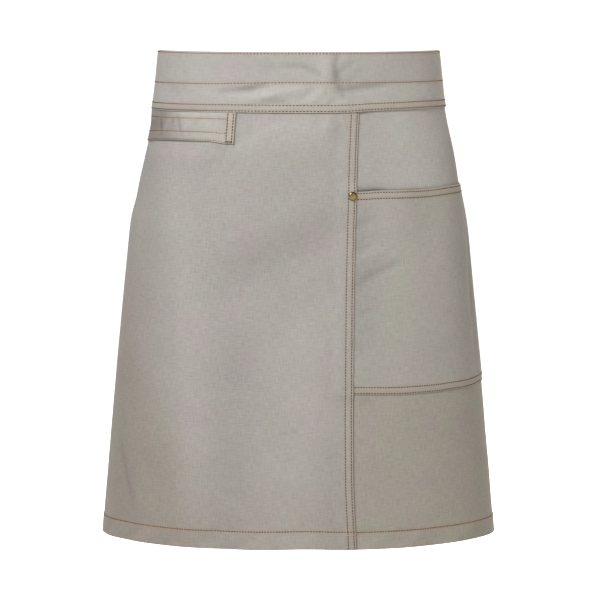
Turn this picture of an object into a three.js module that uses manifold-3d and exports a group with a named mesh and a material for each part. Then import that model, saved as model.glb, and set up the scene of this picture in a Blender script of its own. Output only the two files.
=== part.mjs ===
// A waist apron in its worn form, in millimetres.
// +Z is up, the front faces -Y and +X is the wearer's left. The origin is the middle of the waist,
// halfway up the waistband. A place on the cloth is given by three lengths: along, the distance round
// the body from the centre front; drop, the distance below the waistband's top edge; and out, the
// distance outwards from the inner face of the panels.
import * as THREE from 'three';
import { mergeVertices } from 'three/addons/utils/BufferGeometryUtils.js';
import Module from 'manifold-3d';

// Driving dimensions
const CUT_WIDTH = 700; // from one back edge round the front to the other
const LENGTH = 500; // from the waistband's top edge to the hem
const CLOTH = 1; // one layer of cloth
const GAP = 0.3; // air between neighbouring layers
const LAYER = CLOTH + GAP;

const BAND_HEIGHT = 61;
const BAND_INNER_HEIGHT = 60;
const BAND_ROLL = 1; // round of the fold at the band's top edge
const PANEL_TOP = 36; // drop of the panels' top edges, hidden inside the band

const HEM = 17.5; // turn-up at the bottom
const HEM_STEP = 0.5; // length over which the wall thickens into the hem
const SIDE_HEM = 14; // turn-in at each back edge

const SEAM = 57; // folded edge of the front panel, left of the wearer's centre front
const LAP = 11; // how far the front panel lies over the side panel
const LAP_RAMP = 5; // length over which the front panel climbs onto the side panel
const SEAM_REACH = 75; // how far to each side the cloth follows the seam's curve
const SEAM_CORE = 15; // how far to each side it follows the curve fully

const POCKET = { mouth: 139.5, low: 345, tuck: 9, far: 280, gape: 10, gapeFrom: 59, gapeTo: 150 };
const GAPE_DEPTH = 150; // how far below the mouth the pocket still stands off
const POCKET_FADE = 8; // length over which the seam climbs onto the pocket's edges

const TOWEL_LOOP = { front: -63, rear: -238, width: 30, thick: 1.6, tack: 12.5, lean: 2.5 };
const LOOP_STAND = { from: -75.5, to: -185, height: 10 }; // where a towel passes behind the strap
const LOOP_CLEAR = 0.6; // space under the waistband's lower edge

const RIVET = { setback: 3.2, drop: 145, capRadius: 4.5, capRise: 2.2, postRadius: 1.5 };
const RIVET_DOME = [
  { width: 1, height: 0.3 },
  { width: 0.85, height: 0.65 },
  { width: 0.5, height: 0.92 },
]; // the cap's outline, as shares of its radius and rise
const RIVET_WASHER = { radius: 3.6, thick: 1.2 };
const RIVET_CLEAR = 0.5; // air between the cloth and the rivet's cap and washer
const RIVET_SIDES = 24;
const HOLE = { clear: 0.3, reach: 6 }; // air round the post, and how far the punch goes to each side

const TIE = { from: 3, to: 28, inBand: 28 };

// Sections of the worn form. frontLine is the centre front's place along Y.
const BODY = [
  { drop: 0, halfWidth: 144.2, frontDepth: 105, backDepth: 95, frontLine: -105 },
  { drop: 60, halfWidth: 151.1, frontDepth: 109, backDepth: 98, frontLine: -108 },
  { drop: 110, halfWidth: 161.3, frontDepth: 114, backDepth: 104, frontLine: -112 },
  { drop: 173, halfWidth: 172.5, frontDepth: 119, backDepth: 110, frontLine: -116 },
  { drop: 223, halfWidth: 178, frontDepth: 123, backDepth: 114, frontLine: -119 },
  { drop: 348, halfWidth: 190.3, frontDepth: 129, backDepth: 120, frontLine: -124 },
  { drop: 500, halfWidth: 203.7, frontDepth: 137, backDepth: 125, frontLine: -130 },
];
const SQUARENESS = 2.15; // exponent of the sections: 2 is an ellipse
const DIP = { front: 2.2, back: 4 }; // how far the apron hangs lower there than over the hips
const ARC_STEPS = 720;

// The seam's sideways wander, and the waistband's lower edge, which rises past the seam.
const SEAM_LINE = [
  { drop: 60, shift: 4.5 },
  { drop: 100, shift: 2.5 },
  { drop: 180, shift: 0.4 },
  { drop: 260, shift: -1.6 },
  { drop: 430, shift: -1.9 },
  { drop: 500, shift: 1.2 },
];
const BAND_EDGE = [
  { along: -140, drop: BAND_HEIGHT + 0.6 },
  { along: 0, drop: BAND_HEIGHT },
  { along: 55, drop: BAND_HEIGHT - 0.2 },
  { along: 68, drop: BAND_HEIGHT - 1.6 },
  { along: 130, drop: BAND_HEIGHT - 2.5 },
];

// Broad folds: each runs through three places on the cloth, is width wide and stands height proud.
const FOLDS = [
  { from: 85, to: 520, top: -150, middle: -120, low: -117, width: 24, height: 2.6 },
  { from: 140, to: 460, top: 52, middle: -60, low: -74, width: 27, height: -3.2 },
  { from: 185, to: 500, top: 30, middle: -8, low: -38, width: 32, height: 2 },
  { from: 55, to: 175, top: -207, middle: -207, low: -207, width: 45, height: -2.5 },
  { from: -20, to: 60, top: 41, middle: 41, low: 43, width: 7, height: -1.4 },
  { from: 300, to: 560, top: -215, middle: -205, low: -190, width: 26, height: -2.2 },
];
const FOLD_FADE = 0.22; // share of a fold's run over which each end dies away

// Spacing of the facets
const COLUMN_STEP = 14;
const ROW_STEP = 28;
const BAND_ROWS = [18, PANEL_TOP, 48];
const STRAP_ROWS = [0, 0.5, 1]; // shares of the strap's width
const SAME_POINT = 1e-4; // corners nearer than this are one corner

const FINISH = {
  front_panel: { color: 0xb0aaa4, roughness: 0.85, metalness: 0 },
  side_panel: { color: 0xa39c93, roughness: 0.85, metalness: 0 },
  pocket: { color: 0xaba59f, roughness: 0.85, metalness: 0 },
  waistband: { color: 0xb5b0ab, roughness: 0.85, metalness: 0 },
  towel_loop: { color: 0xa8a199, roughness: 0.85, metalness: 0 },
  back_tie: { color: 0xaea8a2, roughness: 0.88, metalness: 0 },
  rivet: { color: 0x8d7440, roughness: 0.35, metalness: 1 },
};

const TOP_Z = BAND_HEIGHT / 2;
const LOOP_TOP = BAND_HEIGHT + LOOP_CLEAR;
const BACK_EDGE = CUT_WIDTH / 2;
const HEM_TOP = LENGTH - HEM;
const SIDE_EDGE = SEAM - LAP; // hidden edge of the side panel under the lap
const LAP_CREST = SIDE_EDGE - GAP; // where the front panel has climbed onto the side panel
const LAP_FOOT = LAP_CREST - LAP_RAMP;

const wasm = await Module();
wasm.setup();

const { smoothstep, clamp } = THREE.MathUtils;

/** A smooth curve through one field of a table, level beyond its ends. */
function readTable(rows, key, field, at) {
  const last = rows.length - 1;
  if (at <= rows[0][key]) return rows[0][field];
  if (at >= rows[last][key]) return rows[last][field];
  const slopeAt = (i) => {
    const before = rows[Math.max(i - 1, 0)];
    const after = rows[Math.min(i + 1, last)];
    return (after[field] - before[field]) / (after[key] - before[key]);
  };
  const i = rows.findIndex((row) => row[key] > at) - 1;
  const span = rows[i + 1][key] - rows[i][key];
  const u = (at - rows[i][key]) / span;
  const rise = u * u * (3 - 2 * u);
  const leave = u * (1 - u) * (1 - u) * span * slopeAt(i);
  const arrive = u * u * (u - 1) * span * slopeAt(i + 1);
  return THREE.MathUtils.lerp(rows[i][field], rows[i + 1][field], rise) + leave + arrive;
}

const signedPower = (value, power) => Math.sign(value) * Math.abs(value) ** power;

/** One level outline of the worn form, measured by the distance along it from the centre front. */
class Section {
  constructor(drop) {
    const read = (field) => readTable(BODY, 'drop', field, drop);
    this.halfWidth = read('halfWidth');
    this.frontDepth = read('frontDepth');
    this.backDepth = read('backDepth');
    this.middle = read('frontLine') + this.frontDepth;
    this.arc = [0];
    let before = this.place(0);
    for (let i = 1; i <= ARC_STEPS; i += 1) {
      const here = this.place((Math.PI * i) / ARC_STEPS);
      this.arc.push(this.arc[i - 1] + Math.hypot(here.x - before.x, here.y - before.y));
      before = here;
    }
    this.halfRound = this.arc[ARC_STEPS];
  }

  /** The point and outward direction at a turn from the centre front, in radians. */
  place(turn) {
    const side = Math.sin(turn);
    const ahead = Math.cos(turn);
    const depth = ahead > 0 ? this.frontDepth : this.backDepth;
    const power = 2 / SQUARENESS;
    const normalPower = 2 - power;
    const outX = signedPower(side, normalPower) / this.halfWidth;
    const outY = -signedPower(ahead, normalPower) / depth;
    const size = Math.hypot(outX, outY);
    return {
      x: this.halfWidth * signedPower(side, power),
      y: this.middle - depth * signedPower(ahead, power),
      outX: outX / size,
      outY: outY / size,
    };
  }

  /** The point and outward direction at a distance along the outline, which may pass the back. */
  at(along) {
    const round = 2 * this.halfRound;
    const wrapped = along - round * Math.round(along / round);
    const distance = Math.abs(wrapped);
    let low = 0;
    let high = ARC_STEPS;
    while (high - low > 1) {
      const half = (low + high) >> 1;
      if (this.arc[half] > distance) high = half;
      else low = half;
    }
    const part = (distance - this.arc[low]) / (this.arc[high] - this.arc[low]);
    return this.place((Math.sign(wrapped) * Math.PI * (low + part)) / ARC_STEPS);
  }
}

const sections = new Map();

function sectionAt(drop) {
  if (!sections.has(drop)) sections.set(drop, new Section(drop));
  return sections.get(drop);
}

/** How far the broad folds move the cloth outwards at a place. */
function foldHeight(along, drop) {
  let sum = 0;
  for (const fold of FOLDS) {
    const u = (drop - fold.from) / (fold.to - fold.from);
    if (u <= 0 || u >= 1) continue;
    const centre =
      fold.top * 2 * (u - 0.5) * (u - 1) + fold.middle * 4 * u * (1 - u) + fold.low * 2 * u * (u - 0.5);
    const fade = smoothstep(u, 0, FOLD_FADE) * smoothstep(1 - u, 0, FOLD_FADE);
    sum += fold.height * fade * Math.exp(-(((along - centre) / fold.width) ** 2));
  }
  return sum;
}

/** Sideways shift that lets lines near the seam follow its curve. */
function seamShift(along, drop) {
  const away = Math.abs(along - SEAM);
  return readTable(SEAM_LINE, 'drop', 'shift', drop) * smoothstep(-away, -SEAM_REACH, -SEAM_CORE);
}

function clothPoint(along, drop, out) {
  const place = along + seamShift(along, drop);
  const { x, y, outX, outY } = sectionAt(drop).at(place);
  const stand = out + foldHeight(place, drop);
  const dip = (outY < 0 ? DIP.front : DIP.back) * outY * outY;
  return new THREE.Vector3(x + outX * stand, y + outY * stand, TOP_Z - drop - dip);
}

/** 1 beside the pocket's left end and 0 above and below it. */
function besidePocket(drop) {
  const above = smoothstep(drop, POCKET.mouth - POCKET_FADE, POCKET.mouth - GAP);
  const below = smoothstep(-drop, -POCKET.low - POCKET_FADE, -POCKET.low - GAP);
  return above * below;
}

/** How far the front panel is lifted by what it laps over. */
function lapLift(along, drop) {
  if (along <= LAP_FOOT) return 0;
  return LAYER * (1 + besidePocket(drop)) * clamp((along - LAP_FOOT) / LAP_RAMP, 0, 1);
}

/** How far the waistband's outer layer stands off, with a step over the seam's thickness. */
function bandLift(along) {
  const up = clamp((along - LAP_FOOT) / LAP_RAMP, 0, 1);
  const down = clamp((along - SEAM) / LAP_RAMP, 0, 1);
  return LAYER * (1 + up - down);
}

const bandEdge = (along) => readTable(BAND_EDGE, 'along', 'drop', along);

/** How far the pocket's mouth stands off the side panel. */
function pocketGape(along, drop) {
  const u = clamp((along - POCKET.gapeFrom) / (POCKET.gapeTo - POCKET.gapeFrom), 0, 1);
  const depth = clamp(1 - (drop - POCKET.mouth) / GAPE_DEPTH, 0, 1);
  return POCKET.gape * Math.sin(Math.PI * u) ** 2 * depth * depth;
}

/** How far the towel strap stands off the panel between its sewn ends. */
function loopStand(along) {
  const u = clamp((along - LOOP_STAND.from) / (LOOP_STAND.to - LOOP_STAND.from), 0, 1);
  return LOOP_STAND.height * Math.sin(Math.PI * u) ** 2;
}

/** Facet lines between two places: both ends, the set lines, and steps that keep clear of those. */
function linesBetween(from, to, step, set) {
  const lines = [from, to, ...set.filter((line) => line > from && line < to)];
  const keep = [...lines];
  for (let line = Math.ceil(from / step) * step; line < to; line += step) {
    if (keep.every((other) => Math.abs(other - line) > step / 4)) lines.push(line);
  }
  return lines.sort((a, b) => a - b);
}

const columnsBetween = (from, to) => linesBetween(from, to, COLUMN_STEP, [LAP_FOOT, LAP_CREST, SEAM]);
const panelRows = linesBetween(PANEL_TOP, LENGTH, ROW_STEP, [
  ...BAND_ROWS,
  BAND_HEIGHT,
  LOOP_TOP + TOWEL_LOOP.width / 2,
  LOOP_TOP + TOWEL_LOOP.width,
  POCKET.mouth - POCKET_FADE,
  POCKET.mouth,
  POCKET.low,
  POCKET.low + POCKET_FADE,
  HEM_TOP - HEM_STEP,
  HEM_TOP,
]);

/** A closed geometry from points and triangles. */
function closedGeometry(points, triangles) {
  const geometry = new THREE.BufferGeometry().setFromPoints(points);
  geometry.setIndex(triangles);
  geometry.computeVertexNormals();
  return geometry;
}

/**
 * A cloth wall over a grid. place(column, row, face) gives a corner of the grid, with face 1 on the
 * outside and 0 on the inside.
 */
function clothWall(columns, rows, place) {
  const wide = columns.length;
  const high = rows.length;
  const points = [];
  for (const face of [1, 0]) {
    for (const row of rows) {
      for (const column of columns) points.push(place(column, row, face));
    }
  }
  const corner = (face, i, j) => (face ? 0 : wide * high) + j * wide + i;
  const triangles = [];
  const quad = (a, b, c, d) => triangles.push(a, b, c, a, c, d);
  for (let j = 0; j < high - 1; j += 1) {
    for (let i = 0; i < wide - 1; i += 1) {
      quad(corner(1, i, j), corner(1, i, j + 1), corner(1, i + 1, j + 1), corner(1, i + 1, j));
      quad(corner(0, i, j), corner(0, i + 1, j), corner(0, i + 1, j + 1), corner(0, i, j + 1));
    }
  }
  for (let i = 0; i < wide - 1; i += 1) {
    quad(corner(1, i, 0), corner(1, i + 1, 0), corner(0, i + 1, 0), corner(0, i, 0));
    const end = high - 1;
    quad(corner(1, i, end), corner(0, i, end), corner(0, i + 1, end), corner(1, i + 1, end));
  }
  for (let j = 0; j < high - 1; j += 1) {
    quad(corner(1, 0, j), corner(0, 0, j), corner(0, 0, j + 1), corner(1, 0, j + 1));
    const end = wide - 1;
    quad(corner(1, end, j), corner(1, end, j + 1), corner(0, end, j + 1), corner(0, end, j));
  }
  return closedGeometry(points, triangles);
}

/** A closed ring of corners, given by ringAt(column), swept along the columns and capped. */
function sweptRing(columns, ringAt) {
  const rings = columns.map(ringAt);
  const size = rings[0].length;
  const points = [];
  rings.forEach((ring, i) => {
    ring.forEach(({ drop, out }) => points.push(clothPoint(columns[i], drop, out)));
  });
  const triangles = [];
  for (let i = 0; i < rings.length - 1; i += 1) {
    for (let k = 0; k < size; k += 1) {
      const next = (k + 1) % size;
      const a = i * size + k;
      const b = i * size + next;
      if (rings[i][next].drop < rings[i][k].drop) triangles.push(a, a + size, b, b, a + size, b + size);
      else triangles.push(a, b + size, b, a, a + size, b + size);
    }
  }
  const outline = (ring) => ring.map(({ drop, out }) => new THREE.Vector2(out, -drop));
  const end = (rings.length - 1) * size;
  THREE.ShapeUtils.triangulateShape(outline(rings[0]), []).forEach(([a, b, c]) => {
    triangles.push(a, b, c);
    triangles.push(end + a, end + c, end + b);
  });
  return closedGeometry(points, triangles);
}

function solidOf(geometry) {
  const bare = geometry.clone();
  bare.deleteAttribute('normal');
  bare.deleteAttribute('uv');
  const merged = mergeVertices(bare, SAME_POINT);
  return new wasm.Manifold(
    new wasm.Mesh({
      numProp: 3,
      vertProperties: new Float32Array(merged.attributes.position.array),
      triVerts: new Uint32Array(merged.index.array),
    }),
  );
}

function subtract(geometry, tool) {
  const { numProp, vertProperties, triVerts } = solidOf(geometry).subtract(solidOf(tool)).getMesh();
  const cut = new THREE.BufferGeometry();
  const corners = [];
  for (let i = 0; i < vertProperties.length; i += numProp) {
    corners.push(new THREE.Vector3(vertProperties[i], vertProperties[i + 1], vertProperties[i + 2]));
  }
  cut.setFromPoints(corners);
  cut.setIndex([...triVerts]);
  cut.computeVertexNormals();
  return cut;
}

/** Whether a place is in the bottom hem, or in a side hem below the waistband. */
function isTurnedIn(along, drop) {
  const inSideHem = Math.abs(along) > BACK_EDGE - SIDE_HEM && drop > BAND_HEIGHT;
  return drop >= HEM_TOP || inSideHem;
}

function frontPanel() {
  return clothWall(columnsBetween(-BACK_EDGE, SEAM), panelRows, (along, drop, face) => {
    const lift = lapLift(along, drop);
    const inner = along <= LAP_FOOT && isTurnedIn(along, drop) ? -CLOTH : lift;
    return clothPoint(along, drop, face ? lift + CLOTH : inner);
  });
}

function sidePanel() {
  return clothWall(columnsBetween(SIDE_EDGE, BACK_EDGE), panelRows, (along, drop, face) => {
    const inner = isTurnedIn(along, drop) ? -CLOTH : 0;
    return clothPoint(along, drop, face ? CLOTH : inner);
  });
}

function pocketPatch() {
  const rows = linesBetween(POCKET.mouth, POCKET.low, ROW_STEP, []);
  return clothWall(columnsBetween(SEAM - POCKET.tuck, POCKET.far), rows, (along, drop, face) => {
    const stand = LAYER + pocketGape(along, drop);
    return clothPoint(along, drop, face ? stand + CLOTH : stand);
  });
}

function waistband() {
  return sweptRing(columnsBetween(-BACK_EDGE, BACK_EDGE), (along) => {
    const lift = bandLift(along);
    const outside = lift + CLOTH;
    const inside = -GAP - CLOTH;
    const low = bandEdge(along);
    const upAt = (out) => [...BAND_ROWS].reverse().map((drop) => ({ drop, out }));
    const downAt = (out) => BAND_ROWS.map((drop) => ({ drop, out }));
    return [
      { drop: low, out: outside },
      ...upAt(outside),
      { drop: BAND_ROLL, out: outside },
      { drop: 0, out: outside - BAND_ROLL },
      { drop: 0, out: inside + BAND_ROLL },
      { drop: BAND_ROLL, out: inside },
      ...downAt(inside),
      { drop: BAND_INNER_HEIGHT, out: inside },
      { drop: BAND_INNER_HEIGHT, out: -GAP },
      ...upAt(-GAP),
      { drop: LAYER, out: -GAP },
      { drop: LAYER, out: lift },
      ...downAt(lift),
      { drop: low, out: lift },
    ];
  });
}

function towelLoop() {
  const tacks = [TOWEL_LOOP.front - TOWEL_LOOP.tack, TOWEL_LOOP.rear + TOWEL_LOOP.tack];
  const columns = linesBetween(TOWEL_LOOP.rear, TOWEL_LOOP.front, COLUMN_STEP / 2, tacks);
  return clothWall(columns, STRAP_ROWS, (along, share, face) => {
    const drop = bandEdge(along) + LOOP_CLEAR + share * TOWEL_LOOP.width;
    const stand = LAYER + loopStand(along);
    const leaning = along - TOWEL_LOOP.lean * share;
    return clothPoint(leaning, drop, face ? stand + TOWEL_LOOP.thick : stand);
  });
}

/** The plain tape that closes the waist behind, from inside one band end to inside the other. */
function backTie() {
  const start = BACK_EDGE - TIE.inBand;
  const finish = 2 * sectionAt(0).halfRound - start;
  const columns = linesBetween(start, finish, COLUMN_STEP, []);
  return clothWall(columns, [TIE.from, (TIE.from + TIE.to) / 2, TIE.to], (along, drop, face) => {
    const round = 2 * sectionAt(drop).halfRound;
    const mirrored = 2 * sectionAt(0).halfRound - along;
    const onLeft = along < sectionAt(0).halfRound;
    return clothPoint(onLeft ? along : round - mirrored, drop, face ? CLOTH : 0);
  });
}

const rivetAlong = SEAM - RIVET.setback;
const rivetSeat = clothPoint(rivetAlong, RIVET.drop, 0);
const rivetOut = clothPoint(rivetAlong, RIVET.drop, 1).sub(rivetSeat).normalize();
const rivetTurn = new THREE.Quaternion().setFromUnitVectors(new THREE.Vector3(0, 1, 0), rivetOut);
const rivetPlace = new THREE.Matrix4().compose(rivetSeat, rivetTurn, new THREE.Vector3(1, 1, 1));

/** Cap, post and washer as one turned body. Its axis is the cloth's outward direction. */
function rivetBody() {
  const capFoot = lapLift(rivetAlong, RIVET.drop) + CLOTH + RIVET_CLEAR;
  const { capRadius, capRise, postRadius } = RIVET;
  const washerTop = -RIVET_CLEAR;
  const washerFoot = washerTop - RIVET_WASHER.thick;
  const profile = [
    [0, washerFoot],
    [RIVET_WASHER.radius, washerFoot],
    [RIVET_WASHER.radius, washerTop],
    [postRadius, washerTop],
    [postRadius, capFoot],
    [capRadius, capFoot],
    ...RIVET_DOME.map(({ width, height }) => [capRadius * width, capFoot + capRise * height]),
    [0, capFoot + capRise],
  ].map(([radius, height]) => new THREE.Vector2(radius, height));
  return new THREE.LatheGeometry(profile, RIVET_SIDES).applyMatrix4(rivetPlace);
}

function rivetHole() {
  const radius = RIVET.postRadius + HOLE.clear;
  const punch = new THREE.CylinderGeometry(radius, radius, 2 * HOLE.reach, RIVET_SIDES);
  return punch.applyMatrix4(rivetPlace);
}

const apron = new THREE.Group();

function addPiece(name, geometry) {
  const mesh = new THREE.Mesh(geometry, new THREE.MeshStandardMaterial(FINISH[name]));
  mesh.name = name;
  apron.add(mesh);
}

addPiece('front_panel', subtract(frontPanel(), rivetHole()));
addPiece('side_panel', subtract(sidePanel(), rivetHole()));
addPiece('pocket', subtract(pocketPatch(), rivetHole()));
addPiece('waistband', waistband());
addPiece('towel_loop', towelLoop());
addPiece('rivet', rivetBody());
addPiece('back_tie', backTie());

export default apron;
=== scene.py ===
"""Looks of a waist apron in its worn form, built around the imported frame.

Lengths in tables and fields are millimetres, and meshes are written in metres. A place on the cloth is
given by along, the distance round the body from the centre front, drop, the distance below the
waistband's top edge, and out, the distance outwards from the inner face of the panels.
"""

import logging
import math
from dataclasses import dataclass
from enum import Enum
from typing import Iterable, Mapping, Sequence

import bpy
import numpy as np
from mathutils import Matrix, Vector


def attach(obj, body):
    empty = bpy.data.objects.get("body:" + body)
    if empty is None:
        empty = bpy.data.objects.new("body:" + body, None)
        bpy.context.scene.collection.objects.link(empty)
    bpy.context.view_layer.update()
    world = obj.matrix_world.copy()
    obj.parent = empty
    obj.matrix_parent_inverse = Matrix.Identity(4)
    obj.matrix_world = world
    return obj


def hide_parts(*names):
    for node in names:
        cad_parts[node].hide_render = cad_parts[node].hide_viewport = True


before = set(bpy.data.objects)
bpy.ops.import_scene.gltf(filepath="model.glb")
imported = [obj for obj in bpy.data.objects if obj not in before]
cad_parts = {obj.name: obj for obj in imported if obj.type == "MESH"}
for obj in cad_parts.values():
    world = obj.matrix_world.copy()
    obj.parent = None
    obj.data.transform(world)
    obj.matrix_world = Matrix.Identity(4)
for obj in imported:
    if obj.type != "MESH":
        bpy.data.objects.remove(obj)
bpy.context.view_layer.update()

Array = np.ndarray
Places = tuple[Array, Array, Array]
Socket = bpy.types.NodeSocket
Tree = bpy.types.NodeTree
MM = 0.001
WHITE = "#ffffff"
# Least length that a vector is divided by
NEAR_ZERO = 1e-9
# A diagonal wave texture repeats every 0.444 / scale across its lines.
WAVE_REPEAT = 0.444
# Numbers of a colour mix's two colours and of its result
MIX_FIRST, MIX_SECOND, MIX_RESULT = 6, 7, 2
# Where a mesh has closer lines: beside a row of stitches, and in from an edge
LINES_BESIDE = (-1.7, -1.0, -0.45, 0.0, 0.45, 1.0, 1.7)
LINES_INSIDE = (0.0, 0.1, 0.25, 0.45, 0.75, 1.3)
# Least distance between two such lines, and from them to a usual line as a share of the usual step
LINES_APART, LINES_CLEAR = 0.09, 0.4
log = logging.getLogger("apron")


def smoothstep(low: float, high: float, value: Array) -> Array:
    """A smooth rise from 0 at low to 1 at high."""
    u = np.clip((np.asarray(value, float) - low) / (high - low), 0.0, 1.0)
    return u * u * (3.0 - 2.0 * u)


def ridge(distance: Array, width: float) -> Array:
    """A round ridge: 1 on its line, and nearly gone two widths away."""
    return np.exp(-((distance / width) ** 2))


def signed_power(value: Array, power: float) -> Array:
    """A power that keeps the sign of its base."""
    return np.sign(value) * np.abs(value) ** power


def unit(vectors: Array) -> Array:
    """Vectors scaled to a length of 1."""
    return vectors / np.maximum(np.linalg.norm(vectors, axis=-1, keepdims=True), NEAR_ZERO)


def places_beside(edge: float, insets: Sequence[float], way: float = -1.0) -> tuple[float, ...]:
    """Places that lie before an edge or, with a way of 1, after it."""
    return tuple(edge + way * inset for inset in insets)


def swell(start: float, stop: float, at: Array) -> Array:
    """A smooth rise from 0 at the start to 1 halfway, and back to 0 at the stop."""
    share = np.clip((at - start) / (stop - start), 0.0, 1.0)
    return np.sin(math.pi * share) ** 2


class SmoothTable:
    """A smooth curve through a short table, level beyond its ends."""

    def __init__(self, rows: Sequence[Sequence[float]]) -> None:
        """Keep the table and its slopes.

        Args:
            rows: pairs of a key and its value, with rising keys.
        """
        self.keys, self.values = np.array(rows, float).T
        before = np.maximum(np.arange(len(self.keys)) - 1, 0)
        after = np.minimum(np.arange(len(self.keys)) + 1, len(self.keys) - 1)
        rise = self.values[after] - self.values[before]
        self.slopes = rise / (self.keys[after] - self.keys[before])

    def __call__(self, at: Array) -> Array:
        """The curve's value at one or many keys.

        Args:
            at: one or many keys.

        Returns:
            The values.
        """
        at = np.clip(at, self.keys[0], self.keys[-1])
        i = np.clip(np.searchsorted(self.keys, at, side="right") - 1, 0, len(self.keys) - 2)
        span = self.keys[i + 1] - self.keys[i]
        u = (at - self.keys[i]) / span
        between = (self.values[i + 1] - self.values[i]) * u * u * (3.0 - 2.0 * u)
        leave = u * (1.0 - u) ** 2 * span * self.slopes[i]
        arrive = u * u * (u - 1.0) * span * self.slopes[i + 1]
        return self.values[i] + between + leave + arrive


class SoftNoise:
    """Smooth seeded unevenness over the cloth, from -1 to 1."""

    SIDE = 97

    def __init__(self, seed: int, cell: float) -> None:
        """Draw the lattice.

        Args:
            seed: seed of the draws.
            cell: distance between lattice points.
        """
        self.lattice = np.random.default_rng(seed).uniform(-1.0, 1.0, (self.SIDE, self.SIDE))
        self.cell = cell

    def __call__(self, along: Array, drop: Array) -> Array:
        """The unevenness at places on the cloth.

        Args:
            along: distances round the body from the centre front.
            drop: distances below the top edge.

        Returns:
            Shares from -1 to 1.
        """
        u, v = along / self.cell, drop / self.cell
        i, j = np.floor(u).astype(int), np.floor(v).astype(int)
        fu, fv = smoothstep(0.0, 1.0, u - i), smoothstep(0.0, 1.0, v - j)

        def corner(di: int, dj: int) -> Array:
            """The lattice's draw at one corner of each place's cell."""
            return self.lattice[(i + di) % self.SIDE, (j + dj) % self.SIDE]

        upper = corner(0, 0) * (1.0 - fu) + corner(1, 0) * fu
        lower = corner(0, 1) * (1.0 - fu) + corner(1, 1) * fu
        return upper * (1.0 - fv) + lower * fv


@dataclass(frozen=True)
class Pattern:
    """Sizes that several pieces share, as cut and sewn."""

    cut_width: float = 700.0
    length: float = 501.0
    cloth: float = 1.0
    gap: float = 0.3
    band_height: float = 61.0
    panel_top: float = 36.0
    hem_top: float = 481.0
    hem_row: float = 482.7
    side_hem_row: float = 483.3
    side_hem: float = 14.0
    side_row: float = 12.0
    seam: float = 57.0
    lap: float = 11.0
    lap_ramp: float = 12.0
    row_insets: tuple[float, float] = (2.1, 8.1)
    low_insets: tuple[float, float] = (1.4, 7.6)
    pocket_mouth: float = 139.5
    pocket_low: float = 345.0
    pocket_far: float = 280.0
    pocket_fade: float = 8.0
    strap_front: float = -63.0
    strap_width: float = 32.2
    strap_lean: float = 2.5
    # how far rows of stitches stop short: usually, at the hem and back, and at a seam or a lower edge
    row_clear: float = 1.0
    row_near: float = 0.8
    row_close: float = 0.6

    @property
    def layer(self) -> float:
        """One cloth and the air above it."""
        return self.cloth + self.gap

    @property
    def back_edge(self) -> float:
        """Distance from the centre front to each back edge."""
        return self.cut_width / 2.0

    @property
    def lap_crest(self) -> float:
        """Where the front panel has climbed onto the side panel."""
        return self.seam - self.lap - self.gap

    @property
    def lap_foot(self) -> float:
        """Where the front panel starts to climb."""
        return self.lap_crest - self.lap_ramp

    @property
    def row_top(self) -> float:
        """Where rows that run down a panel start, just inside the waistband."""
        return self.band_height - self.row_clear

    @property
    def row_end(self) -> float:
        """Where rows that run down a panel stop, just above the lower edge."""
        return self.length - self.row_close


@dataclass(frozen=True)
class Fold:
    """A broad fold that runs down the cloth through three places."""

    start: float
    stop: float
    top: float
    middle: float
    low: float
    width: float
    height: float
    fade: float = 0.22

    def lift(self, along: Array, drop: Array) -> Array:
        """How far the fold moves the cloth outwards.

        Args:
            along: distances round the body from the centre front.
            drop: distances below the top edge.

        Returns:
            Distances outwards.
        """
        u = np.clip((drop - self.start) / (self.stop - self.start), 0.0, 1.0)
        centre = (
            self.top * 2.0 * (u - 0.5) * (u - 1.0)
            + self.middle * 4.0 * u * (1.0 - u)
            + self.low * 2.0 * u * (u - 0.5)
        )
        ends = smoothstep(0.0, self.fade, u) * smoothstep(0.0, self.fade, 1.0 - u)
        return self.height * ends * ridge(along - centre, self.width)


@dataclass(frozen=True)
class Crease:
    """A short crease between two places on the cloth. Its tone is painted light along it, or painted
    shade where below 0.
    """

    along: float
    drop: float
    to_along: float
    to_drop: float
    width: float
    height: float
    tone: float = 0.0
    # where it starts and is full at each end, as shares of its length
    ENDS = (-0.2, 0.35)

    def profile(self, along: Array, drop: Array) -> Array:
        """1 along the crease's line, falling to 0 beside it and at its ends.

        Args:
            along: distances round the body from the centre front.
            drop: distances below the top edge.

        Returns:
            Shares from 0 to 1.
        """
        run = math.hypot(self.to_along - self.along, self.to_drop - self.drop)
        ahead = (self.to_along - self.along) / run, (self.to_drop - self.drop) / run
        from_along, from_drop = along - self.along, drop - self.drop
        share = (from_along * ahead[0] + from_drop * ahead[1]) / run
        aside = from_drop * ahead[0] - from_along * ahead[1]
        ends = smoothstep(*self.ENDS, share) * smoothstep(*self.ENDS, 1.0 - share)
        return ends * ridge(aside, self.width)


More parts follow.
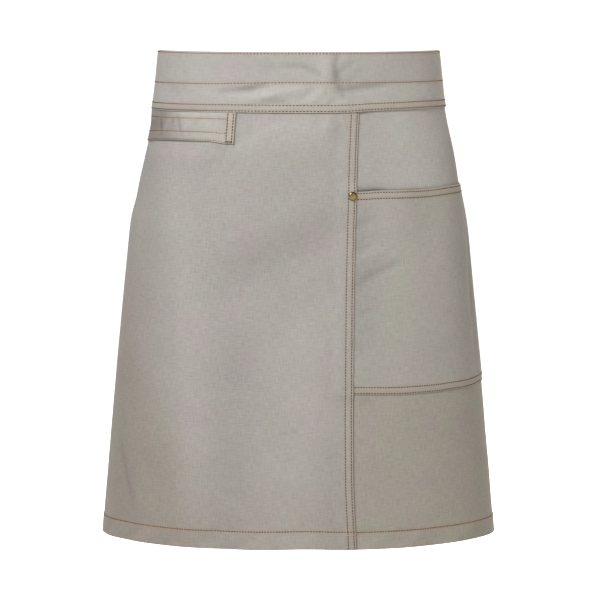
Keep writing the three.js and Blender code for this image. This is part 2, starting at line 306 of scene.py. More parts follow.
class WornForm:
    """Where the cloth hangs: level outlines of the body, broad folds and short creases."""

    # drop, half width, front depth, back depth, centre front's place along Y
    BODY = (
        (0.0, 144.2, 105.0, 95.0, -105.0),
        (60.0, 151.1, 109.0, 98.0, -108.0),
        (110.0, 161.3, 114.0, 104.0, -112.0),
        (173.0, 172.5, 119.0, 110.0, -116.0),
        (223.0, 178.0, 123.0, 114.0, -119.0),
        (348.0, 190.3, 129.0, 120.0, -124.0),
        (500.0, 203.7, 137.0, 125.0, -130.0),
    )
    # drop, the seam's sideways wander
    SEAM_LINE = ((60, 4.7), (100, 2.9), (180, 0.8), (260, -1.1), (430, -1.2), (500, 1.9))
    SEAM_REACH, SEAM_CORE = 75.0, 15.0
    # along, how far the hem hangs below its height
    HEM_LINE = (
        (-180, 0.0), (-110, 0.8), (-50, 1.0), (-20, 0.3), (0, -0.2), (20, 0.1),
        (36, 0.9), (80, 1.1), (115, 0.9), (150, 0.2), (200, -0.4), (280, 0.0),
    )
    HEM_FROM, HEM_FULL = 380.0, 480.0
    SQUARENESS = 2.15
    DIP_FRONT, DIP_BACK = 2.2, 4.0
    STEPS = 720
    DROP_FROM, DROP_TO, DROP_STEP = -5.0, 505.0, 2.5
    FOLDS = (
        # left ridge, its valley, the swell beside it and the dip along the seam
        Fold(85, 540, -146, -116, -112, 24, 3.0),
        Fold(265, 560, -60, -74, -80, 24, -2.2),
        Fold(235, 580, 22, -2, -16, 34, 3.4),
        Fold(320, 580, 43, 42, 43, 9, -0.9),
        # left hip and the lower left
        Fold(55, 175, -207, -207, -207, 45, -2.5),
        Fold(300, 560, -215, -205, -190, 26, -2.2),
        Fold(-40, 140, -196, -196, -196, 40, -1.4),
        # waistband and the pocket's side
        Fold(-20, 60, 41, 41, 43, 7, -1.4),
        Fold(110, 400, 98, 100, 102, 28, 1.0),
    )
    # the last number of each crease is painted light, or painted shade below 0; creases with no height
    # are only painted light
    CREASES = (
        # waistband: the upright pinch and its branches
        Crease(41, 2, 38, 20, 2.6, -1.3, -0.05),
        Crease(38, 18, 42, 37, 2.6, -2.25, -0.15),
        Crease(41, 34, 47, 48, 3.0, -1.75, -0.1),
        Crease(39, 23, 56, 9, 3.0, -1.0, -0.07),
        Crease(39, 39, 92, 34.5, 3.2, -1.75, -0.13),
        Crease(57, 19, 66, 18, 2.0, -0.5, -0.05),
        Crease(28, -2, 28, 33, 8.0, 1.9, 0.06),
        Crease(50, 14, 52, 62, 10.0, -0.7, -0.075),
        # waistband: arcs left of the pinch
        Crease(-44, 16, -22, 16, 5.0, -0.6, -0.04),
        Crease(-20, 15.5, 9, 15.5, 3.0, -1.1, -0.06),
        Crease(3, 15, 25, 26, 3.0, -1.25, -0.07),
        Crease(-82, 41, -40, 38, 3.0, -1.5, -0.09),
        Crease(-60, 39, -31, 34.5, 2.6, -1.75, -0.11),
        Crease(-38, 51.5, -10, 51.5, 3.2, -1.4, -0.08),
        Crease(-56, 49, 6, 36, 4.0, 1.4, 0.05),
        Crease(15, 37, 0, 49, 3.0, -1.0, -0.06),
        Crease(28, 36, 12, 50, 3.5, 1.0, 0.04),
        Crease(37, 46, 27, 56, 2.5, -0.9, -0.06),
        Crease(-150, 35, -124, 42, 6.0, -0.6, -0.05),
        # front panel: the diagonal hollow, the swell above it and drag lines under the band
        Crease(58, 170, -84, 244, 28.0, -4.2, -0.05),
        Crease(-64, 102, 42, 88, 24.0, 3.0, 0.03),
        Crease(-14, 62, -80, 101, 3.0, -0.5, -0.02),
        Crease(-8, 68, -70, 106, 6.0, 0.75, 0.02),
        Crease(34, 62, 22, 92, 4.0, 1.0, 0.03),
        Crease(43, 68, 38, 96, 5.0, -0.75, -0.05),
        Crease(-66, 97, -112, 128, 8.0, -0.9, -0.02),
        Crease(-70, 72, 44, 70, 9.0, 0.0, 0.025),
        Crease(-215, 101, -66, 97, 9.0, 0.0, 0.05),
        # front panel: beside the seam and near the hem
        Crease(32, 222, 40, 246, 3.0, -0.5, -0.03),
        Crease(27, 412, 47, 402, 4.0, -0.6, -0.03),
        Crease(-101, 434, -38, 452, 6.0, -0.4, -0.015),
        Crease(-214, 400, -184, 470, 5.0, -1.5, -0.06),
        # pocket: pulls from the seam, and a dimple under its corner
        Crease(57, 177, 74, 167, 3.0, -0.75, -0.06),
        Crease(57, 193, 71, 186, 2.2, -0.6, -0.05),
        Crease(57, 201, 73, 194, 2.2, -0.6, -0.06),
        Crease(60, 211, 88, 198, 5.0, 0.9, 0.03),
        Crease(56, 239, 76, 224, 5.0, -1.1, -0.06),
        Crease(70, 227, 106, 212, 4.5, -1.1, -0.06),
        Crease(58, 267, 75, 260, 3.0, -0.5, -0.03),
        Crease(58, 284, 77, 277, 3.0, -0.5, -0.03),
        Crease(57, 302, 74, 295, 3.0, -0.5, -0.03),
        Crease(61, 354, 76, 352.5, 2.6, -0.6, -0.07),
        # right hip
        Crease(226, 105, 213, 250, 9.0, -1.75, -0.06),
        Crease(213, 230, 220, 335, 9.0, -1.5, -0.06),
    )
    # how strongly folds and creases are turned into painted light on ridges and painted shade in
    # hollows
    FOLD_RUB, CREASE_RUB = 0.025, 1.7
    UNEVEN, UNEVEN_SEED, UNEVEN_CELL = 0.22, 11, 36.0
    # keeps the furthest places inside the last cell of the table of turns
    SHY = 0.001

    def __init__(self, pattern: Pattern) -> None:
        """Measure the outlines.

        Args:
            pattern: shared sizes.
        """
        self.pattern = pattern
        rows = np.array(self.BODY)
        columns = (SmoothTable(rows[:, [0, i]]) for i in range(1, rows.shape[1]))
        self.half_width, self.front_depth, self.back_depth, self.front_line = columns
        self.seam_line = SmoothTable(self.SEAM_LINE)
        self.hem_line = SmoothTable(self.HEM_LINE)
        self.uneven = SoftNoise(self.UNEVEN_SEED, self.UNEVEN_CELL)
        self.drops = np.arange(self.DROP_FROM, self.DROP_TO + self.DROP_STEP / 2.0, self.DROP_STEP)
        turns = np.linspace(0.0, math.pi, self.STEPS + 1)
        x, y, _, _ = self.outline(turns[None, :], self.drops[:, None])
        steps = np.hypot(np.diff(x, axis=1), np.diff(y, axis=1))
        arcs = np.pad(np.cumsum(steps, axis=1), ((0, 0), (1, 0)))
        self.half_rounds = arcs[:, -1]
        shares = np.linspace(0.0, 1.0, self.STEPS + 1)
        self.turns = np.array([np.interp(shares * arc[-1], arc, turns) for arc in arcs])

    def outline(self, turn: Array, drop: Array) -> tuple[Array, Array, Array, Array]:
        """The body's level outline.

        Args:
            turn: angles from the centre front, in radians.
            drop: distances below the top edge.

        Returns:
            x, y and the outward direction's x and y.
        """
        side, ahead = np.sin(turn), np.cos(turn)
        wide = self.half_width(drop)
        front = self.front_depth(drop)
        depth = np.where(ahead > 0.0, front, self.back_depth(drop))
        power = 2.0 / self.SQUARENESS
        x = wide * signed_power(side, power)
        y = self.front_line(drop) + front - depth * signed_power(ahead, power)
        out_x = signed_power(side, 2.0 - power) / wide
        out_y = -signed_power(ahead, 2.0 - power) / depth
        size = np.hypot(out_x, out_y)
        return x, y, out_x / size, out_y / size

    def half_round(self, drop: Array) -> Array:
        """Half the way round the body at a drop."""
        return np.interp(drop, self.drops, self.half_rounds)

    def turn_at(self, along: Array, drop: Array) -> Array:
        """The angle from the centre front at a distance along the outline, which may pass the back.

        Args:
            along: distances round the body from the centre front.
            drop: distances below the top edge.

        Returns:
            Angles in radians, below 0 on the wearer's right.
        """
        half = self.half_round(drop)
        wrapped = along - 2.0 * half * np.round(along / (2.0 * half))
        row = np.clip((drop - self.DROP_FROM) / self.DROP_STEP, 0, len(self.drops) - 1 - self.SHY)
        column = np.clip(np.abs(wrapped) / half * self.STEPS, 0, self.STEPS - self.SHY)
        i, j = row.astype(int), column.astype(int)
        fi, fj = row - i, column - j
        upper = self.turns[i, j] * (1.0 - fj) + self.turns[i, j + 1] * fj
        lower = self.turns[i + 1, j] * (1.0 - fj) + self.turns[i + 1, j + 1] * fj
        return np.sign(wrapped) * (upper * (1.0 - fi) + lower * fi)

    def wander(self, along: Array, drop: Array) -> Array:
        """The distance along with the seam's sideways wander, which fades away from the seam."""
        away = np.abs(along - self.pattern.seam)
        return along + self.seam_line(drop) * smoothstep(-self.SEAM_REACH, -self.SEAM_CORE, -away)

    def lift(self, along: Array, drop: Array) -> Array:
        """How far folds and creases move the cloth outwards."""
        folds = sum(fold.lift(along, drop) for fold in self.FOLDS)
        return folds + sum(c.height * c.profile(along, drop) for c in self.CREASES)

    def painted_shading(self, along: Array, drop: Array) -> Array:
        """Painted light on ridges and painted shade in hollows: how much paler or darker the cloth is
        drawn.

        Args:
            along: distances round the body from the centre front.
            drop: distances below the top edge.

        Returns:
            Shares of tone, above 0 where it is paler.
        """
        along = self.wander(along, drop)
        folds = self.FOLD_RUB * sum(fold.lift(along, drop) for fold in self.FOLDS)
        return folds + self.CREASE_RUB * sum(c.tone * c.profile(along, drop) for c in self.CREASES)

    def place(self, along: Array, drop: Array, out: Array) -> Array:
        """Points on or off the cloth.

        Args:
            along: distances round the body from the centre front.
            drop: distances below the top edge.
            out: distances outwards from the panels' inner face.

        Returns:
            Points in millimetres, with x, y and z last.
        """
        along, drop, out = np.broadcast_arrays(along, drop, out)
        along = self.wander(along, drop)
        stand = out + self.UNEVEN * self.uneven(along, drop) + self.lift(along, drop)
        drop = drop + self.hem_line(along) * smoothstep(self.HEM_FROM, self.HEM_FULL, drop)
        x, y, out_x, out_y = self.outline(self.turn_at(along, drop), drop)
        dip = np.where(out_y < 0.0, self.DIP_FRONT, self.DIP_BACK) * out_y**2
        z = self.pattern.band_height / 2.0 - drop - dip
        return np.stack([x + out_x * stand, y + out_y * stand, z], axis=-1)


def link(name: str, data: bpy.types.ID) -> bpy.types.Object:
    """Make an object of some data and link it to the scene.

    Args:
        name: the object's name.
        data: its mesh, camera or lamp.

    Returns:
        The object.
    """
    made = bpy.data.objects.new(name, data)
    bpy.context.scene.collection.objects.link(made)
    return made


def tie(made: bpy.types.Object, node: str | None = None) -> None:
    """Tie a piece to the frame.

    Args:
        made: the piece.
        node: the solid that it replaces, if any.
    """
    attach(made, "root")
    if node is not None:
        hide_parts(node)


def mesh_object(
    name: str, points: Array, faces: Sequence[Sequence[int]], attributes: Mapping[str, Array]
) -> bpy.types.Object:
    """A smooth mesh object, linked to the scene.

    Args:
        name: the object's name.
        points: corners in millimetres.
        faces: corner numbers of each face.
        attributes: one number or vector for each corner, by name.

    Returns:
        The object.
    """
    mesh = bpy.data.meshes.new(name)
    mesh.from_pydata((points * MM).tolist(), [], faces)
    for key, values in attributes.items():
        plain = values.ndim == 1
        layer = mesh.attributes.new(key, "FLOAT" if plain else "FLOAT_VECTOR", "POINT")
        layer.data.foreach_set("value" if plain else "vector", values.astype(np.float32).ravel())
    mesh.shade_smooth()
    return link(name, mesh)


def wall_faces(wide: int, high: int) -> list[list[int]]:
    """Faces of a closed wall: an outer and an inner grid of wide by high corners, and the rim.

    Args:
        wide: corners along each row.
        high: rows of corners.

    Returns:
        Corner numbers of each face.
    """
    number = np.arange(wide * high).reshape(high, wide)
    a, b = number[:-1, :-1].ravel(), number[:-1, 1:].ravel()
    c, d = number[1:, 1:].ravel(), number[1:, :-1].ravel()
    inner = wide * high
    walls = [np.stack([a, d, c, b], 1), np.stack([a, b, c, d], 1) + inner]
    border = np.concatenate([number[0, :], number[1:, -1], number[-1, -2::-1], number[-2:0:-1, 0]])
    after = np.roll(border, -1)
    rim = np.stack([border, after, after + inner, border + inner], 1)
    return np.concatenate([*walls, rim]).tolist()


def grid_lines(start: float, stop: float, step: float, fine: Iterable[float]) -> Array:
    """Lines of a grid, closer together at both ends and beside rows of stitches.

    Args:
        start: first line.
        stop: last line.
        step: usual distance between lines.
        fine: places that need closer lines.

    Returns:
        Rising places of the lines.
    """
    lines = [start + d for d in LINES_INSIDE] + [stop - d for d in LINES_INSIDE]
    lines += [place + d for place in fine for d in LINES_BESIDE]
    kept: list[float] = []
    for line in sorted(lines):
        if start <= line <= stop and (not kept or line - kept[-1] > LINES_APART):
            kept.append(line)
    coarse = np.linspace(start, stop, int((stop - start) / step) + 1)
    close = np.array(kept)
    apart = np.abs(coarse[:, None] - close[None, :]).min(axis=1)
    return np.sort(np.concatenate([close, coarse[apart > LINES_CLEAR * step]]))


def add_node(
    tree: Tree,
    kind: str,
    output: str | int | None = None,
    inputs: Mapping[str | int, object] | None = None,
    **settings: object,
) -> Socket | None:
    """Add a node with its settings and links.

    Args:
        tree: the material's or world's node tree.
        kind: the node's type name, without its first word.
        output: the name or number of the output that is wanted, if any.
        inputs: a value or an output socket for each named or numbered input.
        settings: the node's own properties.

    Returns:
        The wanted output socket.
    """
    node = tree.nodes.new(f"ShaderNode{kind}")
    for key, value in settings.items():
        setattr(node, key, value)
    for key, value in (inputs or {}).items():
        if isinstance(value, Socket):
            tree.links.new(value, node.inputs[key])
        else:
            node.inputs[key].default_value = value
    return None if output is None else node.outputs[output]


def linear(code: str) -> tuple[float, float, float, float]:
    """An sRGB hex colour as linear red, green, blue and alpha.

    Args:
        code: the colour's code, with a leading hash.

    Returns:
        The four linear shares.
    """
    shares = [int(code[i : i + 2], 16) / 255.0 for i in (1, 3, 5)]
    red, green, blue = (s / 12.92 if s <= 0.04045 else ((s + 0.055) / 1.055) ** 2.4 for s in shares)
    return red, green, blue, 1.0


def new_material(name: str) -> tuple[bpy.types.Material, Tree]:
    """An empty node material and its tree.

    Args:
        name: the material's name.

    Returns:
        The material and its node tree.
    """
    material = bpy.data.materials.new(name)
    material.use_nodes = True
    material.node_tree.nodes.clear()
    return material, material.node_tree


@dataclass(frozen=True)
class TwillFinish:
    """Piece-dyed cotton twill, pressed smooth: a soft taupe with a faint diagonal and a dry sheen."""

    name: str
    warp: str
    weft: str
    # colour of the painted shadow lines past edges and of the painted shade at rims
    crease: str = "#4d443b"
    sewn: str = "#b8a18a"
    sewn_share: float = 0.4
    # What places in painted shade keep of each colour, which turns them browner and darker
    dusk_shade: str = "#f3ede5"
    roughness: float = 0.74
    specular: float = 0.28
    sheen: float = 0.05
    sheen_roughness: float = 0.5
    # The real twill line is about 0.6 mm wide. It is drawn nearly three times as coarse, to show.
    twill_mm: float = 1.6
    twill_share: float = 0.35
    twill_waver: float = 0.7
    # Yarns are about 0.25 mm apart. The slubs drawn here are bundles of four or so.
    slub_mm: float = 1.1
    slub_run_mm: float = 9.0
    # Heights of the yarns between which the colour goes from warp to weft
    yarn_span: tuple[float, float] = (0.75, 1.6)
    # Uneven dyeing: patches of tone, and patches that lean to green or rose
    mottle_mm: float = 45.0
    mottle: float = 0.03
    mottle_span: tuple[float, float] = (0.3, 0.7)
    cast_mm: float = 42.0
    cast_span: tuple[float, float] = (0.35, 0.65)
    cast_seed: float = 3.0
    green_cast: str = "#fbfffb"
    rose_cast: str = "#fffbff"
    crinkle_mm: float = 6.0
    # Strength of each relief, and its depth in millimetres
    yarn_relief: tuple[float, float] = (0.25, 0.25)
    crinkle_relief: tuple[float, float] = (0.35, 0.35)

    def material(self) -> bpy.types.Material:
        """The finish as a material. It reads each corner's place on the cloth.

        Returns:
            The material.
        """
        made, tree = new_material(self.name)
        cloth = add_node(tree, "Attribute", "Vector", attribute_name="cloth_mm")
        weave = self._weave(tree, cloth)
        look = {
            "Base Color": self._colour(tree, cloth, weave),
            "Roughness": self.roughness,
            "Specular IOR Level": self.specular,
            "Sheen Weight": self.sheen,
            "Sheen Roughness": self.sheen_roughness,
            "Normal": self._normal(tree, cloth, weave),
        }
        shader = add_node(tree, "BsdfPrincipled", "BSDF", look)
        add_node(tree, "OutputMaterial", None, {"Surface": shader})
        return made

    def _weave(self, tree: Tree, cloth: Socket) -> Socket:
        """The height of the yarns: slubs both ways, and the twill's diagonal.

        Args:
            tree: the material's node tree.
            cloth: places on the cloth.

        Returns:
            The height's socket.
        """
        wave = {"Vector": cloth, "Scale": WAVE_REPEAT / self.twill_mm, "Detail": 1.0}
        wave |= {"Distortion": self.twill_waver}
        twill = add_node(tree, "TexWave", "Fac", wave, bands_direction="DIAGONAL")
        yarns = []
        for across, down in ((self.slub_mm, self.slub_run_mm), (self.slub_run_mm, self.slub_mm)):
            stretch = {"Vector": cloth, "Scale": (1.0 / across, 1.0 / down, 1.0)}
            yarn = add_node(tree, "Mapping", "Vector", stretch)
            slubs = {"Vector": yarn, "Scale": 1.0, "Detail": 2.0}
            yarns.append(add_node(tree, "TexNoise", "Fac", slubs))
        both = add_node(tree, "Math", 0, dict(enumerate(yarns)), operation="ADD")
        total = {0: twill, 1: self.twill_share, 2: both}
        return add_node(tree, "Math", 0, total, operation="MULTIPLY_ADD")

    def _colour(self, tree: Tree, cloth: Socket, weave: Socket) -> Socket:
        """The colour: dyed yarns, uneven dyeing, painted light and shade on folds, sewn strips, browner
        painted shade and dark painted shadow lines.

        Args:
            tree: the material's node tree.
            cloth: places on the cloth.
            weave: the height of the yarns.

        Returns:
            The colour's socket.
        """
        painted_shading, strip, dusk_shade, shade = (
            add_node(tree, "Attribute", "Fac", attribute_name=name)
            for name in ("painted_shading", "strip", "dusk_shade", "shade")
        )
        spans = (self.yarn_span, self.cast_span, self.mottle_span)
        yarns, leans, uneven = ({"From Min": low, "From Max": high} for low, high in spans)
        mixed = add_node(tree, "MapRange", 0, yarns | {"Value": weave})
        dyed = {0: mixed, MIX_FIRST: linear(self.warp), MIX_SECOND: linear(self.weft)}
        colour = add_node(tree, "Mix", MIX_RESULT, dyed, data_type="RGBA")
        patch = {"Vector": cloth, "Scale": 1.0 / self.cast_mm, "Detail": 2.0, "W": self.cast_seed}
        cast = add_node(tree, "TexNoise", "Fac", patch, noise_dimensions="4D")
        lean = add_node(tree, "MapRange", 0, leans | {"Value": cast})
        casts = {0: lean, MIX_FIRST: linear(self.green_cast), MIX_SECOND: linear(self.rose_cast)}
        hue = add_node(tree, "Mix", MIX_RESULT, casts, data_type="RGBA")
        colour = add_node(tree, "VectorMath", 0, {0: colour, 1: hue}, operation="MULTIPLY")
        patch = {"Vector": cloth, "Scale": 1.0 / self.mottle_mm, "Detail": 4.0, "Roughness": 0.55}
        uneven |= {"Value": add_node(tree, "TexNoise", "Fac", patch)}
        uneven |= {"To Min": 1.0 - self.mottle, "To Max": 1.0 + self.mottle}
        # painted light and shade on folds and creases, as a factor on the colour
        painted_tone = add_node(tree, "Math", 0, {0: painted_shading, 1: 1.0}, operation="ADD")
        tones = {0: add_node(tree, "MapRange", 0, uneven), 1: painted_tone}
        tone = add_node(tree, "Math", 0, tones, operation="MULTIPLY")
        colour = add_node(tree, "VectorMath", 0, {0: colour, "Scale": tone}, operation="SCALE")
        tinge = add_node(tree, "Math", 0, {0: strip, 1: self.sewn_share}, operation="MULTIPLY")
        tinged = {0: tinge, MIX_FIRST: colour, MIX_SECOND: linear(self.sewn)}
        colour = add_node(tree, "Mix", MIX_RESULT, tinged, data_type="RGBA")
        # browner painted shade
        dims = {0: dusk_shade, MIX_FIRST: linear(WHITE), MIX_SECOND: linear(self.dusk_shade)}
        dim = add_node(tree, "Mix", MIX_RESULT, dims, data_type="RGBA")
        colour = add_node(tree, "VectorMath", 0, {0: colour, 1: dim}, operation="MULTIPLY")
        # painted shadow lines past edges and painted shade at rims, mixed towards the crease colour
        shadowed = {0: shade, MIX_FIRST: colour, MIX_SECOND: linear(self.crease)}
        return add_node(tree, "Mix", MIX_RESULT, shadowed, data_type="RGBA")

    def _normal(self, tree: Tree, cloth: Socket, weave: Socket) -> Socket:
        """The fine relief: yarns, and a crinkle left from washing.

        Args:
            tree: the material's node tree.
            cloth: places on the cloth.
            weave: the height of the yarns.

        Returns:
            The normal's socket.
        """
        strength, depth = self.yarn_relief
        yarns = {"Strength": strength, "Distance": depth * MM, "Height": weave}
        fine = add_node(tree, "Bump", "Normal", yarns)
        patch = {"Vector": cloth, "Scale": 1.0 / self.crinkle_mm, "Detail": 3.0}
        crinkle = add_node(tree, "TexNoise", "Fac", patch)
        strength, depth = self.crinkle_relief
        washed = {"Strength": strength, "Distance": depth * MM, "Height": crinkle, "Normal": fine}
        return add_node(tree, "Bump", "Normal", washed)


@dataclass(frozen=True)
class ThreadFinish:
    """Spun polyester sewing thread, twisted: a slightly glossy brown that varies by the stitch."""

    name: str
    dark: str
    light: str
    roughness: float = 0.55
    # The real twist is about 0.4 mm long.
    twist_mm: float = 0.4
    # Strength of the twist's relief, and its depth in millimetres
    twist_relief: tuple[float, float] = (0.3, 0.08)

    def material(self) -> bpy.types.Material:
        """The finish as a material. It reads each stitch's own shade.

        Returns:
            The material.
        """
        made, tree = new_material(self.name)
        strand = add_node(tree, "Attribute", "Fac", attribute_name="strand")
        dyed = {0: strand, MIX_FIRST: linear(self.dark), MIX_SECOND: linear(self.light)}
        colour = add_node(tree, "Mix", MIX_RESULT, dyed, data_type="RGBA")
        place = add_node(tree, "TexCoord", "Object")
        wave = {"Vector": place, "Scale": WAVE_REPEAT / (self.twist_mm * MM)}
        twist = add_node(tree, "TexWave", "Fac", wave, bands_direction="DIAGONAL")
        strength, depth = self.twist_relief
        relief = {"Strength": strength, "Distance": depth * MM, "Height": twist}
        bump = add_node(tree, "Bump", "Normal", relief)
        look = {"Base Color": colour, "Roughness": self.roughness, "Normal": bump}
        shader = add_node(tree, "BsdfPrincipled", "BSDF", look)
        add_node(tree, "OutputMaterial", None, {"Surface": shader})
        return made


@dataclass(frozen=True)
class BrassFinish:
    """Antique brass, stamped, tumbled, lacquered: a dull olive, brown at the rim, with pale glints."""

    name: str
    bright: str
    patina: str
    roughness: tuple[float, float] = (0.3, 0.5)
    lacquer: float = 0.5
    lacquer_roughness: float = 0.22
    # Tumbling marks are about 0.5 mm apart.
    mark_mm: float = 0.5
    mark_share: float = 0.35

    def material(self) -> bpy.types.Material:
        """The finish as a material. It reads the patina at each corner.

        Returns:
            The material.
        """
        made, tree = new_material(self.name)
        shade = add_node(tree, "Attribute", "Fac", attribute_name="shade")
        place = add_node(tree, "TexCoord", "Object")
        patch = {"Vector": place, "Scale": 1.0 / (self.mark_mm * MM), "Detail": 3.0}
        marks = add_node(tree, "TexNoise", "Fac", patch)
        total = {0: marks, 1: self.mark_share, 2: shade}
        stain = add_node(tree, "Math", 0, total, operation="MULTIPLY_ADD")
        worn = {0: stain, MIX_FIRST: linear(self.bright), MIX_SECOND: linear(self.patina)}
        low, high = self.roughness
        look = {
            "Base Color": add_node(tree, "Mix", MIX_RESULT, worn, data_type="RGBA"),
            "Metallic": 1.0,
            "Roughness": add_node(tree, "MapRange", 0, {"Value": marks, "To Min": low, "To Max": high}),
            "Coat Weight": self.lacquer,
            "Coat Roughness": self.lacquer_roughness,
        }
        shader = add_node(tree, "BsdfPrincipled", "BSDF", look)
        add_node(tree, "OutputMaterial", None, {"Surface": shader})
        return made


class Run(Enum):
    """Which way a seam runs on its piece."""

    ROUND = "round"
    DOWN = "down"


class Face(Enum):
    """Which faces of a piece show a seam's thread: the outer skin is 1 and the inner skin 0."""

    OUTSIDE = (1,)
    INSIDE = (0,)
    BOTH = (1, 0)


class Held(Enum):
    """How a piece of cloth is held."""

    HUNG = "hung"
    LAID = "laid"
    FOLDED = "folded"
    STRETCHED = "stretched"


class ThreadTone(Enum):
    """The two shades of sewing thread."""

    BROWN = ThreadFinish("brown_polyester_thread", "#33241a", "#5a412b")
    COPPER = ThreadFinish("copper_polyester_thread", "#4c301c", "#7e5430")


@dataclass(frozen=True)
class StitchShape:
    """One stitch: a strand that rises out of the cloth and dives back in. Its share is of the pitch."""

    share: float = 0.7
    # The real thread is about 0.5 mm thick. It is drawn nearly twice as thick, so that it shows.
    radius: float = 0.45
    stations: tuple[float, ...] = (0.0, 0.18, 0.5, 0.82, 1.0)
    girth: tuple[float, ...] = (0.45, 0.95, 1.0, 0.95, 0.45)
    rise: tuple[float, ...] = (-0.3, 0.22, 0.34, 0.22, -0.3)
    sides: int = 6
    jitter: float = 0.12

    def lay(self, line: Array, outward: Array, pitch: float, draw: np.random.Generator) -> Array:
        """Lay stitches along a line.

        Args:
            line: points of the row on the cloth.
            outward: outward directions at those points.
            pitch: distance from stitch to stitch.
            draw: source of small differences.

        Returns:
            Ring points, numbered by stitch, ring and side.
        """
        run = np.pad(np.cumsum(np.linalg.norm(np.diff(line, axis=0), axis=1)), (1, 0))
        count = max(int(run[-1] / pitch), 1)
        pitch = run[-1] / count
        starts = (np.arange(count) + 0.5 * (1.0 - self.share)) * pitch
        starts = starts + draw.uniform(-self.jitter, self.jitter, count)
        at = starts[:, None] + pitch * self.share * np.array(self.stations)
        centre = np.stack([np.interp(at, run, line[:, k]) for k in range(3)], -1)
        out = unit(np.stack([np.interp(at, run, outward[:, k]) for k in range(3)], -1))
        ahead = unit(np.gradient(centre, axis=1))
        aside = np.cross(ahead, out)
        centre = centre + out * np.array(self.rise)[None, :, None]
        angle = np.linspace(0.0, 2.0 * math.pi, self.sides, endpoint=False)[:, None]
        spoke = np.cos(angle) * aside[:, :, None, :] + np.sin(angle) * out[:, :, None, :]
        return centre[:, :, None, :] + self.radius * np.array(self.girth)[:, None, None] * spoke

    def faces(self, count: int) -> list[list[int]]:
        """Faces of that many stitches.

        Args:
            count: how many stitches.

        Returns:
            Corner numbers of each face.
        """
        rings, sides = len(self.stations), self.sides
        number = np.arange(count * rings * sides).reshape(count, rings, sides)
        after = np.roll(number, -1, axis=2)
        around = np.stack([number[:, :-1], after[:, :-1], after[:, 1:], number[:, 1:]], -1)
        ends = np.concatenate([number[:, 0, ::-1], number[:, -1, :]])
        return around.reshape(-1, 4).tolist() + ends.tolist()


CLOSE_STITCH = StitchShape()
OPEN_STITCH = StitchShape(share=0.58, radius=0.5)
FINE_STITCH = StitchShape(share=0.58, radius=0.4)
THIN_STITCH = StitchShape(share=0.55, radius=0.3)
HEAVY_STITCH = StitchShape(share=0.68, radius=0.6)


@dataclass(frozen=True)
class Seam:
    """One row of stitches, or two beside each other, that pull the cloth in."""

    run: Run
    places: tuple[float, ...]
    start: float
    stop: float
    face: Face = Face.OUTSIDE
    tone: ThreadTone = ThreadTone.BROWN
    stitch: StitchShape = CLOSE_STITCH
    # how deep and wide each row sinks, how warm the thread makes the cloth, and how the strip puffs up
    depth: float = 0.18
    width: float = 0.85
    glow: float = 0.8
    glow_width: float = 2.8
    strip_glow: float = 0.75
    puff: float = 0.2
    pitch: float = 2.9
    # fewest points that a row is drawn through
    LEAST_POINTS = 8
    # length over which a row's pull on the cloth starts and stops
    FADE = 1.0

    def _parts(self, u: Array, v: Array) -> tuple[Array, Array]:
        """The distance across the seam, and 1 where the seam runs.

        Args:
            u: places in the piece's first direction.
            v: places in its second direction.

        Returns:
            Distances and shares.
        """
        across, ahead = (v, u) if self.run is Run.ROUND else (u, v)
        runs = smoothstep(self.start - self.FADE, self.start, ahead)
        return across, runs * smoothstep(-self.stop - self.FADE, -self.stop, -ahead)

    def strip(self, u: Array, v: Array) -> Array:
        """1 between the two rows and 0 elsewhere.

        Args:
            u: places in the piece's first direction.
            v: places in its second direction.

        Returns:
            Shares from 0 to 1.
        """
        across, runs = self._parts(u, v)
        low, high = min(self.places), max(self.places)
        if low == high:
            return np.zeros_like(across * runs)
        rise = smoothstep(low, low + self.width, across)
        return runs * rise * smoothstep(-high, -high + self.width, -across)

    def tinge(self, u: Array, v: Array) -> Array:
        """How warm the thread makes the cloth look, between two rows and beside each row.

        Args:
            u: places in the piece's first direction.
            v: places in its second direction.

        Returns:
            Shares from 0 to 1.
        """
        across, runs = self._parts(u, v)
        beside = sum(ridge(across - place, self.glow_width) for place in self.places)
        beside = self.glow * runs * np.minimum(beside, 1.0)
        return np.maximum(self.strip_glow * self.strip(u, v), beside)

    def relief(self, u: Array, v: Array) -> Array:
        """How far the rows sink into the cloth, and the strip between them puffs up.

        Args:
            u: places in the piece's first direction.
            v: places in its second direction.

        Returns:
            Distances outwards.
        """
        across, runs = self._parts(u, v)
        sunk = sum(ridge(across - place, self.width) for place in self.places)
        return self.puff * self.strip(u, v) - self.depth * runs * sunk

    def path(self, place: float, step: float = 0.5) -> tuple[Array, Array]:
        """Points along one row, in the piece's own two directions.

        Args:
            place: where the row lies across the seam.
            step: distance between points.

        Returns:
            The points' first and second directions.
        """
        count = max(int((self.stop - self.start) / step), self.LEAST_POINTS)
        ahead = np.linspace(self.start, self.stop, count)
        across = np.full_like(ahead, place)
        return (ahead, across) if self.run is Run.ROUND else (across, ahead)


@dataclass(frozen=True)
class PaintedShadowLine:
    """Painted shadow on the cloth just past an edge that lies on it."""

    depth: float
    reach: float
    under: float = 0.6

    def past(self, distance: Array) -> Array:
        """The shade: full a little under the edge and at it, and gone a few reaches past it."""
        fade = np.exp(-np.maximum(distance, 0.0) / self.reach)
        return self.depth * np.where(distance > -self.under, fade, 0.0)


